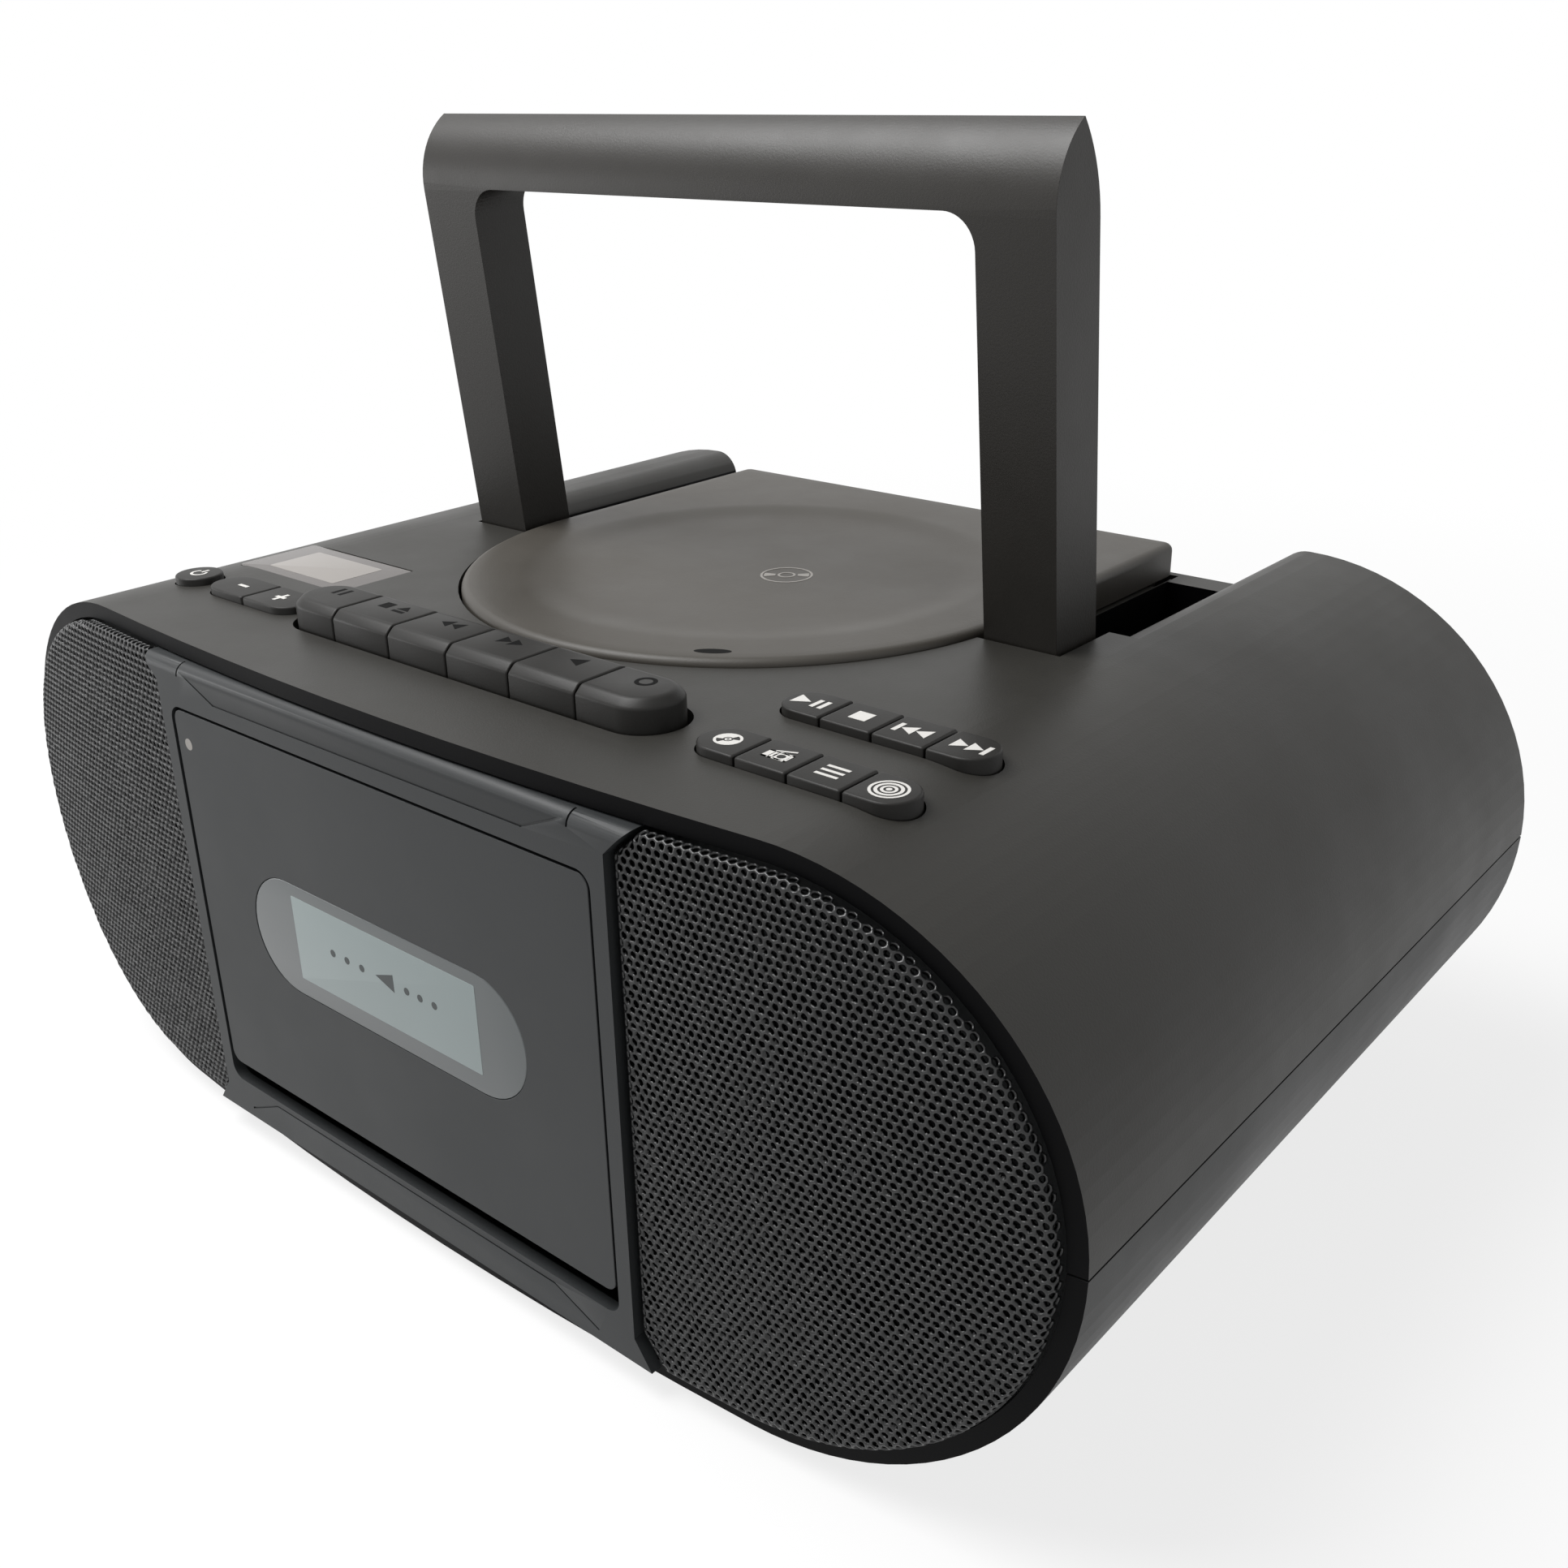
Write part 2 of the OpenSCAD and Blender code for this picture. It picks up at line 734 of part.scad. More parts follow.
// Reel hub with three drive fins, on the axis at width x.
module reel(x) {
    at_body() translate([x, 0, reel_z]) rotate([-90, 0, 0]) difference() {
        union() {
            translate([0, 0, 8]) cylinder(r = 3, h = 20);
            translate([0, 0, 14]) cylinder(r = 4.4, h = 15);
            translate([0, 0, 23]) cylinder(r = 12, h = 2.6);
            for (turn = [0, 120, 240]) rotate([0, 0, turn]) translate([0, -0.7, 9]) cube([4.4, 1.4, 6]);
        }
        translate([0, 0, 24.5]) cylinder(r = 1.5 + run, h = 10);
    }
}

module reel_supply() {
    color("#d9d6cc") reel(-reel_x);
}

module reel_takeup() {
    color("#d9d6cc") reel(reel_x);
}

module flywheel() {
    color("#b9924a") at_body() translate([capstan_x, 0, capstan_z]) rotate([-90, 0, 0]) {
        translate([0, 0, 5]) cylinder(r = 1, h = back_plate_y - 3.5);
        translate([0, 0, 28.2]) difference() {
            cylinder(r = 24, h = 8);
            translate([0, 0, 2.5]) difference() {
                cylinder(r = 25, h = 3);
                cylinder(r = 22.4, h = 3);
            }
        }
    }
}

// Flat belt's outline round the flywheel and the motor's pulley, grown by g.
module belt_outline(g) {
    span = capstan_x - motor_x;
    tilt = asin((wheel_r - pulley_r) / span);
    circle(wheel_r + g);
    translate([-span, 0]) circle(pulley_r + g);
    polygon([for (end = [[0, wheel_r, 1], [-span, pulley_r, 1], [-span, pulley_r, -1], [0, wheel_r, -1]])
        [end[0] - (end[1] + g - belt_bite) * sin(tilt), end[2] * (end[1] + g - belt_bite) * cos(tilt)]]);
}

module drive_belt() {
    color("#1d1d1e") at_body() translate([capstan_x, 0, capstan_z]) along_y(31.2, 33.2) difference() {
        belt_outline(1);
        belt_outline(0);
    }
}

module motors() {
    color(steel) at_body() {
        rod_y(motor_x, capstan_z, back_plate_y + 1.6, 68, 16);
        rod_y(motor_x, capstan_z, 28, back_plate_y + 2, 1.2);
        rod_y(motor_x, capstan_z, 28.6, 35.8, pulley_r - 0.3);
        translate([0, lid_y, 0]) difference() {
            translate([0, 0, 96]) cylinder(r = 12, h = 11.9);
            translate([0, 0, 98]) cylinder(r = 1 + run, h = 20);
        }
    }
}

module head_plate() {
    color(steel) at_body() difference() {
        union() {
            box([-46, 17.2, 106], [46, 18.4, 117]);
            box([-7, 6.5, 106.2], [7, 17.3, 112]);
            box([-40, 9, 107], [-34, 17.3, 111]);
            box([capstan_x - 3.5, 15.4, pinch_z - 4], [capstan_x + 3.5, 17.3, 113]);
            box([capstan_x - 3.5, 16.4, pinch_z - 4], [capstan_x + 3.5, 18.4, 113]);
            rod_y(capstan_x, pinch_z, 6.6, 16, 1.5);
        }
    }
}

module pinch_roller() {
    color("#1d1d1e") at_body() difference() {
        rod_y(capstan_x, pinch_z, 7, 15, pinch_r);
        rod_y(capstan_x, pinch_z, 6, 16, 1.5 + run);
    }
}

module key_shaft() {
    color(steel) at_body() rod_x(-66, 66, key_hinge_y, key_hinge_z, hinge_pin_r);
}

// Triangle that points to the left, h tall.
module arrow(h) {
    polygon([[-h * 0.45, 0], [h * 0.45, -h / 2], [h * 0.45, h / 2]]);
}

// Sign on a key, drawn about its middle.
module key_sign(i) {
    if (i == 0) for (x = [-1.4, 1.4]) translate([x - 0.6, -2]) square([1.2, 4]);
    if (i == 1) {
        translate([-1.9, -2.4]) square([3.8, 1.2]);
        polygon([[-2.2, -0.2], [2.2, -0.2], [0, 2.4]]);
    }
    if (i == 2) for (x = [-1.9, 1.9]) translate([x, 0]) mirror([1, 0]) arrow(4);
    if (i == 3) for (x = [-1.9, 1.9]) translate([x, 0]) arrow(4);
    if (i == 4) arrow(4.4);
    if (i == 5) difference() {
        circle(2.4);
        circle(1.4);
    }
}

// Piano key number i, counted from the left.
module piano_key(i) {
    x0 = (i - 3) * key_pitch;
    top_z = deck_z + key_proud;
    mid_x = x0 + key_pitch / 2;
    color(black_key) at_body() difference() {
        union() {
            along_z(128, top_z) intersection() {
                keys_outline(0);
                translate([x0 + key_gap / 2, 0]) square([key_pitch - key_gap, 100]);
            }
            rod_x(mid_x - 4, mid_x + 4, key_hinge_y, key_hinge_z, 3);
            box([mid_x - 4, key_y0 + key_d - 1, key_hinge_z - 2], [mid_x + 4, key_hinge_y, key_hinge_z + 2]);
        }
        rod_x(mid_x - 5, mid_x + 5, key_hinge_y, key_hinge_z, hinge_pin_r + run);
        translate([mid_x - key_pitch, key_y0 - 0.01, top_z - 2]) rotate([45, 0, 0])
            translate([0, -5, 0]) cube([2 * key_pitch, 8, 8]);
        translate([0, 0, top_z - 0.3]) along_z(0, 1) translate([mid_x, key_y0 + 11]) key_sign(i);
    }
}

module key_pause() {
    piano_key(0);
}

module key_stop() {
    piano_key(1);
}

module key_rewind() {
    piano_key(2);
}

module key_forward() {
    piano_key(3);
}

module key_play() {
    piano_key(4);
}

module key_record() {
    piano_key(5);
}

// Button number i of the row at the depth y.
module row_button(i, y) {
    color(black_key) at_body() along_z(button_bottom, deck_z + button_proud) intersection() {
        row_place(y) row_outline(0);
        translate([row_x0 + i * button_pitch + 0.15, y - 20]) square([button_pitch - 0.3, 40]);
    }
}

module btn_disc_play() {
    row_button(0, row_far_y);
}

module btn_disc_stop() {
    row_button(1, row_far_y);
}

module btn_previous() {
    row_button(2, row_far_y);
}

module btn_next() {
    row_button(3, row_far_y);
}

module btn_disc() {
    row_button(0, row_near_y);
}

module btn_radio() {
    row_button(1, row_near_y);
}

module btn_program() {
    row_button(2, row_near_y);
}

module btn_bass() {
    row_button(3, row_near_y);
}

module btn_power() {
    color(black_key) at_body() translate([power_x, power_y, button_bottom])
        cylinder(r = button_r, h = deck_z + button_proud - button_bottom);
}

// Half of the volume pill: the left one for side -1, the right one for side 1.
module volume_button(side) {
    color(black_key) at_body() along_z(button_bottom, deck_z + button_proud) translate([volume_x, volume_y])
        intersection() {
            pill(volume_l, button_r);
            translate([side > 0 ? 0.15 : -50.15, -20]) square([50, 40]);
        }
}

module btn_volume_down() {
    volume_button(-1);
}

module btn_volume_up() {
    volume_button(1);
}

module lcd_lens() {
    color("#c9c4bf") at_body() box([lcd_x0 + run, lcd_y0 + run, 133], [lcd_x1 - run, lcd_y1 - run, deck_z]);
}

module lcd_module() {
    color("#8f948c") at_body() box([lcd_x0 + 3, lcd_y0 + 1, 127], [lcd_x1 - 1, lcd_y1 - 1, 132.9]);
}

module button_boards() {
    color(copper_green) at_body() {
        box([70, 27, 126.4], [118, 68, 128]);
        box([-118, 28, 126.4], [-66, 43, 128]);
        for (i = [0 : 3], y = [row_far_y, row_near_y])
            translate([min(row_x0 + (i + 0.5) * button_pitch, 114), y, 127.9]) cylinder(r = 2, h = 0.8);
        for (x = [power_x, volume_x - 9, volume_x + 9]) translate([x, power_y, 127.9]) cylinder(r = 2, h = 0.8);
    }
}

module main_board() {
    color(copper_green) at_body() {
        box([-62, 92, 56], [62, 196, 57.6]);
        box([-20, 130, 57.5], [4, 154, 60]);
        box([20, 140, 57.5], [38, 150, 60]);
        for (x = [-48, -34, 46], y = [104, 176]) translate([x, y, 57.5]) cylinder(r = 5, h = 16);
        box([-50, 130, 57.5], [-40, 165, 82]);
        box([-55, 90, 3.6], [-50, 94, 56.1]);
        box([50, 90, 3.6], [55, 94, 56.1]);
    }
}

module transformer() {
    color("#8a8f92") at_body() {
        box([-117, 120, 4.5], [-87, 160, 40]);
        box([-112, 112, 12], [-92, 168, 33]);
    }
}

module rear_sockets() {
    color("#232425") at_body() {
        difference() {
            box([inlet_x - inlet_half, case_d - 18, inlet_z - inlet_tall],
                [inlet_x + inlet_half, case_d, inlet_z + inlet_tall]);
            along_y(case_d - 14, case_d + 1) translate([inlet_x, inlet_z]) pill(17, 4.6);
        }
        for (side = [-1, 1]) rod_y(inlet_x + side * 4.4, inlet_z, case_d - 15, case_d - 4, 1.2);
        difference() {
            rod_y(jack_x, inlet_z, case_d - 14, case_d, jack_r);
            rod_y(jack_x, inlet_z, case_d - 13, case_d + 1, 1.8);
        }
    }
}

module battery_cover() {
    play = 0.3;
    color(black_side) at_body() difference() {
        union() {
            box([play - bay_half, case_d - wall, battery_z0 - 1 + play],
                [bay_half - play, case_d - 0.2, battery_z1 + 1 - play]);
            for (side = [-1, 1]) box([side * 40 - 8, case_d - wall - 2, battery_z0 + play],
                [side * 40 + 8, case_d - wall + 0.1, battery_z0 + 4]);
        }
        for (i = [0 : 4]) box([-24, case_d - 1, 50 + i * 2.4], [24, case_d, 51.2 + i * 2.4]);
    }
}

module battery_contacts() {
    color(steel) at_body() for (side = [0, 1]) mirror([side, 0, 0]) for (row = [0, 1])
        box([bay_half - 1.2, battery_y0 + 7, battery_z0 + 6 + row * 27],
            [bay_half - 0.05, battery_y0 + 23, battery_z0 + 22 + row * 27]);
}

// Handle's side view about its pivot: a bar with a round foot and a pointed arch at its crest.
module handle_side() {
    half_d = arm_d / 2;
    crest_y = 11 - half_d;
    front_arc = 20;
    back_arc = 36;
    front_z = handle_len - sqrt(pow(front_arc, 2) - pow(front_arc - 11, 2));
    back_z = handle_len - sqrt(pow(back_arc, 2) - pow(back_arc - arm_d + 11, 2));
    circle(half_d);
    intersection() {
        translate([-half_d, 0]) square([arm_d, handle_len + 10]);
        union() {
            translate([front_arc - half_d, front_z]) circle(front_arc);
            translate([-big / 2, -big]) square([big, big + front_z]);
        }
        union() {
            translate([half_d - back_arc, back_z]) circle(back_arc);
            translate([-big / 2, -big]) square([big, big + back_z]);
        }
    }
}

module handle() {
    gap_half = handle_half - arm_w;
    gap_top = handle_len - 17.2;
    color(black_side) at_body() translate([0, pivot_y, pivot_z]) rotate([handle_lean, 0, 0]) difference() {
        translate([-handle_half, 0, 0]) rotate([90, 0, 90]) linear_extrude(2 * handle_half) handle_side();
        along_y(-50, 50) translate([-gap_half, -60]) rounded(2 * gap_half, gap_top + 60, 8);
        rod_x(-handle_half - 1, handle_half + 1, 0, 0, pivot_r + run);
    }
}

module pivot_pins() {
    color(steel) at_body() for (side = [0, 1]) mirror([side, 0, 0]) {
        rod_x(slot_in - pocket + 0.1, slot_out + pocket - 0.2, pivot_y, pivot_z, pivot_r);
        rod_x(61, lug_x + 1.8, lid_hinge_y, lid_hinge_z, hinge_pin_r);
        rod_x(66.2, panel_x - 0.2, door_hinge_y, door_hinge_z, door_pin_r);
    }
}

module antenna_base() {
    color(steel) at_body() difference() {
        union() {
            rod_y(mast_x, mast_z, case_d + 0.3, case_d + mast_out, 6.5);
            rod_y(mast_x, mast_z, case_d - wall - 2, case_d + 1, mast_stub_r);
        }
        translate([mast_x - 4, mast_y, mast_z]) rotate([0, -90, 0]) cylinder(r = tube_r + run, h = 20);
    }
}

// Telescopic tube that starts at the width x and runs to the left.
module tube_left(x, l, outer, inner) {
    at_body() translate([x, mast_y, mast_z]) rotate([0, -90, 0]) difference() {
        cylinder(r = outer, h = l);
        translate([0, 0, -1]) cylinder(r = inner, h = l + 2);
    }
}

module antenna_tube_outer() {
    color("#c9ccce") tube_left(mast_x - 4, mast_len, tube_r, 2.15);
}

module antenna_tube_inner() {
    color("#c9ccce") tube_left(mast_x - 8, mast_len, 2.1, 1.5);
}

module antenna_tip() {
    color("#c9ccce") at_body() translate([mast_x - 12, mast_y, mast_z]) rotate([0, -90, 0]) {
        cylinder(r = 1.45, h = mast_len + 2);
        translate([0, 0, mast_len + 1]) cylinder(r = tube_r, h = 6);
    }
}

module feet() {
    color("#1b1b1c") at_body() for (x = [-foot_x, foot_x], y = foot_ys) translate([x, y, 0]) {
        translate([0, 0, -foot_h]) cylinder(r = 9, h = foot_h);
        translate([0, 0, -0.1]) cylinder(r = foot_peg_r, h = wall + 0.1);
    }
}

module screws() {
    color(steel) at_body() at_posts() translate([0, 0, screw_z]) {
        translate([0, 0, -2.4]) difference() {
            cylinder(r = 3.2, h = 2.4);
            for (turn = [0, 90]) rotate([0, 0, turn]) translate([-2.2, -0.4, -1]) cube([4.4, 0.8, 2.2]);
        }
        cylinder(r = screw_r, h = 24);
    }
}

upper_cabinet();
lower_cabinet();
front_panel();
grille_left();
grille_right();
speaker_baskets();
speaker_cones();
speaker_magnets();
cd_lid();
cd_clamp();
cd_well();
cd_sled();
cd_spindle();
pickup_rails();
optical_pickup();
cassette_door();
cassette_window();
cassette_holder();
tape_chassis();
reel_supply();
reel_takeup();
flywheel();
drive_belt();
motors();
head_plate();
pinch_roller();
key_shaft();
key_pause();
key_stop();
key_rewind();
key_forward();
key_play();
key_record();
btn_disc_play();
btn_disc_stop();
btn_previous();
btn_next();
btn_disc();
btn_radio();
btn_program();
btn_bass();
btn_power();
btn_volume_down();
btn_volume_up();
lcd_lens();
lcd_module();
button_boards();
main_board();
transformer();
rear_sockets();
battery_cover();
battery_contacts();
handle();
pivot_pins();
antenna_base();
antenna_tube_outer();
antenna_tube_inner();
antenna_tip();
feet();
screws();
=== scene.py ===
# %% [markdown]
# # A portable player with a fold-back handle
# The real object is a round-ended plastic case that holds a radio, a disc player and a cassette deck.
# Its construction is already modelled as exact solids. This lesson gives those solids their finish:
# rounded edges, punched grilles, printed signs and the fine textures of moulded plastic.

# %% Load the solids
import json
import math

import bmesh
import bpy
from mathutils import Matrix, Vector


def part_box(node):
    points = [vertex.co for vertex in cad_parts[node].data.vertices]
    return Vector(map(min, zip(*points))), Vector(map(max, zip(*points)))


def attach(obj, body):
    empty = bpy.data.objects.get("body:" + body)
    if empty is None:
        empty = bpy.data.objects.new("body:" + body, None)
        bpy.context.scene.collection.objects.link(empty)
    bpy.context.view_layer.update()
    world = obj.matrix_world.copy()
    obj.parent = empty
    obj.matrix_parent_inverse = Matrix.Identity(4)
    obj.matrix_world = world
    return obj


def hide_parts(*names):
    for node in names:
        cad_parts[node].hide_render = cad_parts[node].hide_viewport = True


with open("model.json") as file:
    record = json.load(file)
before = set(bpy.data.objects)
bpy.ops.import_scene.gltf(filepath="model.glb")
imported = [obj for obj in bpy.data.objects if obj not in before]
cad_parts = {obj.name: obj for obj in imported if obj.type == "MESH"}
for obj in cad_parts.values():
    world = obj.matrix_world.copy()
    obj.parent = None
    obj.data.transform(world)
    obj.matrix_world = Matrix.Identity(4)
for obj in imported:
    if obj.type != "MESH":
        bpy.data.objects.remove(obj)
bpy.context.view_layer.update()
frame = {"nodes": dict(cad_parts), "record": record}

# %% [markdown]
# ## Where things are
# Sizes are easiest to read in millimetres, counted from a place on the object itself. Here that place is
# the middle of the front panel's face, at the height of the case's underside. One function turns such a
# place into Blender's metres, so no later step needs to know where the world's origin is.

# %% Millimetres on the object
MM = 0.001
FACE_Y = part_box("front_panel")[0].y
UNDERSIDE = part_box("lower_cabinet")[0].z
DECK = (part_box("upper_cabinet")[1].z - UNDERSIDE) / MM


def at(x, y, z):
    """A place in millimetres (width, depth behind the front panel, height above the underside) in metres."""
    return Vector((x * MM, FACE_Y + y * MM, UNDERSIDE + z * MM))


def box_mm(node):
    """A solid's low and high corner in the same millimetres."""
    low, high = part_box(node)
    shift = Vector((0, FACE_Y, UNDERSIDE))
    return (low - shift) / MM, (high - shift) / MM


print("deck height:", round(DECK, 2), "mm")

# %% [markdown]
# ## Camera
# The camera stands to the right of the object and a little above it. A camera's matrix is made of three
# directions: right, up and back. They follow from the azimuth, the elevation and a small roll.

# %% Camera
AZIMUTH = math.radians(40.47)
ELEVATION = math.radians(23.65)
ROLL = math.radians(-0.90)
LENS = 37.19
SENSOR = 36.0
# Right of the middle, in front of the panel and above the underside, in millimetres.
CAMERA_PLACE = (277.2, -182.7, 257.6)


def make_camera(place):
    """A camera at a place, looking along the azimuth and elevation above, and tilted by the roll."""
    data = bpy.data.cameras.new("camera")
    data.lens = LENS
    data.sensor_width = SENSOR
    camera = bpy.data.objects.new("camera", data)
    bpy.context.scene.collection.objects.link(camera)
    level = math.cos(ELEVATION)
    back = Vector((math.sin(AZIMUTH) * level, -math.cos(AZIMUTH) * level, math.sin(ELEVATION)))
    right = (-back).cross(Vector((0, 0, 1))).normalized()
    up = right.cross(-back)
    turned_right = math.cos(ROLL) * right + math.sin(ROLL) * up
    turned_up = math.cos(ROLL) * up - math.sin(ROLL) * right
    turn = Matrix((turned_right, turned_up, back)).transposed()
    camera.matrix_world = Matrix.Translation(place) @ turn.to_4x4()
    bpy.context.scene.camera = camera
    return camera


camera = make_camera(at(*CAMERA_PLACE))
print("camera at", [round(v, 3) for v in camera.location])

# %% [markdown]
# ## Small helpers for materials
# Colours are written as the hex values that a paint chart would give. Blender works with linear light, so
# one function converts them. A second small function adds any node with its settings and its links.

# %% Colour and node helpers


def linear(code):
    """An sRGB hex colour as linear red, green, blue and alpha."""
    parts = [int(code[i:i + 2], 16) / 255 for i in (1, 3, 5)]
    return [p / 12.92 if p <= 0.04045 else ((p + 0.055) / 1.055) ** 2.4 for p in parts] + [1.0]


def add(tree, kind, links=None, **settings):
    """Adds a node. Settings are its properties. Links name or number its inputs, and give each a plain
    value, a socket, or a node whose first output is meant."""
    node = tree.nodes.new(kind)
    for name, value in settings.items():
        setattr(node, name, value)
    for name, value in (links or {}).items():
        socket = node.inputs[name]
        if isinstance(value, bpy.types.Node):
            value = value.outputs[0]
        if isinstance(value, bpy.types.NodeSocket):
            tree.links.new(value, socket)
        else:
            socket.default_value = value
    return node


def new_material(name):
    """An empty node material and its tree."""
    material = bpy.data.materials.new(name)
    material.use_nodes = True
    material.node_tree.nodes.clear()
    return material, material.node_tree


print("mid grey #808080 is", round(linear("#808080")[0], 3), "in linear light")

# %% [markdown]
# ## Moulded plastic
# The case is injection-moulded ABS. The steel mould was spark-eroded, which leaves a fine, even pitting of
# about half a millimetre on the plastic: it scatters highlights into a soft sheen. Two noise patterns do
# this here: a fine one raises the grain, and a broad one shifts the colour and roughness a little, as
# handling and dust do on a real case.

# %% Moulded ABS

# Real erosion pits are about a tenth of this; they are drawn coarser here so that they show at all.
GRAIN = 0.5 * MM
# Hands, dust and the flow of the melt change a surface over a few centimetres.
PATCH = 45.45 * MM
ABS_IOR = 1.53


def moulded(name, colour, roughness, grain=1.0, depth=0.10, dust=0.10, gloss=0.3):
    """Moulded plastic: grain is its coarseness, depth its height in mm, dust how much the colour varies."""
    material, tree = new_material(name)
    place = add(tree, "ShaderNodeTexCoord").outputs["Object"]
    fine = add(tree, "ShaderNodeTexNoise", {"Vector": place, "Scale": 1 / (GRAIN * grain), "Detail": 3.0,
                                            "Roughness": 0.6})
    broad = add(tree, "ShaderNodeTexNoise", {"Vector": place, "Scale": 1 / PATCH, "Detail": 4.0,
                                             "Roughness": 0.65})
    base = linear(colour)
    pale = [min(1, c * (1 + 2.2 * dust) + 0.004 * dust) for c in base[:3]] + [1]
    dark = [c * (1 - dust) for c in base[:3]] + [1]
    tint = add(tree, "ShaderNodeMix", {"Factor": broad, 6: dark, 7: pale}, data_type="RGBA")
    sheen = add(tree, "ShaderNodeMapRange", {"Value": broad, "From Min": 0.3, "From Max": 0.7,
                                             "To Min": roughness - 0.05, "To Max": roughness + 0.05})
    bump = add(tree, "ShaderNodeBump", {"Height": fine, "Strength": 0.35, "Distance": depth * MM})
    shader = add(tree, "ShaderNodeBsdfPrincipled", {"Base Color": tint.outputs[2], "Roughness": sheen,
                                                    "IOR": ABS_IOR, "Specular IOR Level": gloss,
                                                    "Normal": bump})
    add(tree, "ShaderNodeOutputMaterial", {"Surface": shader})
    return material


# ABS of the deck, moulded in a spark-eroded tool: satin black that turns grey at low angles.
DECK_PLASTIC = moulded("moulded_abs_deck", "#242320", 0.46)
# ABS of the handle, from a tool blasted with finer grit: smoother, so the grip takes a long highlight.
HANDLE_PLASTIC = moulded("moulded_abs_handle", "#211f1c", 0.42, gloss=0.3)
# ABS of the lid, moulded with the deck's grain but paler and browner: it reads as a warm dark grey.
LID_PLASTIC = moulded("moulded_abs_lid", "#3b3833", 0.46)
# ABS of the lower casing, from a deeper-eroded tool: more neutral and a little duller than the deck.
CASE_PLASTIC = moulded("moulded_abs_case", "#222323", 0.50)
# Painted shade: the casing's ABS made nearly black, with hardly any sheen, for faces that see little light.
PAINTED_SHADE_PLASTIC = moulded("moulded_abs_painted_shade", "#040405", 0.42, grain=0.8, depth=0.05, gloss=0.05)
# ABS of the door and the front panel, moulded with a finer grain: a cool, even black.
DOOR_PLASTIC = moulded("moulded_abs_door", "#242627", 0.48, grain=0.8, depth=0.06)
# ABS of the keys and buttons, moulded with a fine grain: the darkest outside plastic, so signs stand out.
KEY_PLASTIC = moulded("moulded_abs_keys", "#171614", 0.46, grain=0.8, depth=0.06, gloss=0.22)
# ABS of the inner frames, left as it came from a plain tool: flat and dull.
INNER_PLASTIC = moulded("moulded_abs_inside", "#161617", 0.60, dust=0.05)
# Acetal of the reels and gears, moulded in a smooth tool: creamy and slightly waxy.
WHITE_PLASTIC = moulded("moulded_acetal", "#d8d4c8", 0.40, depth=0.03, dust=0.03)
# Nitrile rubber of the feet, belt and roller, pressed in a matt mould: no clear highlight.
RUBBER = moulded("moulded_rubber", "#101011", 0.75, grain=1.6)
# Paper pulp of the speaker cones, pressed and dyed: fibrous, and fully matt.
CONE_PAPER = moulded("pressed_pulp_cone", "#17171a", 0.85, grain=2.0)
print("moulded finishes:", [m.name for m in bpy.data.materials])

# %% [markdown]
# ## Metals, boards and lenses
# The grilles are punched steel sheet with a black powder coat: a slightly glossy, orange-peel skin. The
# aerial is chromed brass tube, drawn smooth. The chassis is zinc-plated sheet, brushed by its rolling.
# The lenses are polished acrylic, clear and hard, over a printed ground.

# %% Coats and metals

# The skin of melted powder ripples at this spacing.
PEEL = 0.8 * MM
# Rolling, drawing and turning leave finer lines; they are drawn at this spacing so that they show.
LINES = 0.6 * MM


def coated(name, colour, roughness):
    """A coat that flowed when it was melted or cured: smooth, with a faint orange peel."""
    material, tree = new_material(name)
    place = add(tree, "ShaderNodeTexCoord").outputs["Object"]
    peel = add(tree, "ShaderNodeTexNoise", {"Vector": place, "Scale": 1 / PEEL, "Detail": 2.0})
    bump = add(tree, "ShaderNodeBump", {"Height": peel, "Strength": 0.25, "Distance": 0.05 * MM})
    shader = add(tree, "ShaderNodeBsdfPrincipled", {"Base Color": linear(colour), "Roughness": roughness,
                                                    "Normal": bump})
    add(tree, "ShaderNodeOutputMaterial", {"Surface": shader})
    return material


def metal(name, colour, roughness, stretch=(1, 1, 1)):
    """Bare or plated metal, with fine lines drawn out along the axis where stretch is small."""
    material, tree = new_material(name)
    place = add(tree, "ShaderNodeTexCoord").outputs["Object"]
    mapping = add(tree, "ShaderNodeMapping", {"Vector": place, "Scale": stretch})
    lines = add(tree, "ShaderNodeTexNoise", {"Vector": mapping, "Scale": 1 / LINES, "Detail": 4.0})
    sheen = add(tree, "ShaderNodeMapRange", {"Value": lines, "To Min": max(0.05, roughness - 0.1),
                                             "To Max": roughness + 0.1})
    shader = add(tree, "ShaderNodeBsdfPrincipled", {"Base Color": linear(colour), "Metallic": 1.0,
                                                    "Roughness": sheen})
    add(tree, "ShaderNodeOutputMaterial", {"Surface": shader})
    return material


# Mild steel sheet, punched, pressed and powder-coated black: satin, with a glint round every hole.
GRILLE_COAT = coated("powder_coated_steel", "#0c0d0e", 0.36)
# Glass-epoxy board under a cured solder mask: green and fairly glossy.
BOARD = coated("solder_mask_board", "#1f4a30", 0.35)
# Steel sheet with zinc plating, lined by its rolling: cool grey with a soft streak.
STEEL = metal("zinc_plated_steel", "#a9abad", 0.32, (1, 0.06, 1))
# Drawn brass tube with polished chrome plating: close to a mirror, lined along the tube.
CHROME = metal("chromed_tube", "#c9cbcd", 0.14, (0.05, 1, 1))
# Brass turned on a lathe: warm yellow, a little rough.
BRASS = metal("turned_brass", "#b8935a", 0.28)
print("metals and coats:", [m.name for m in (GRILLE_COAT, BOARD, STEEL, CHROME, BRASS)])

# %% Inks and lenses

# A polished sheet's printed ground is cloudy over this distance.
CLOUD = 16.667 * MM
ACRYLIC_IOR = 1.49


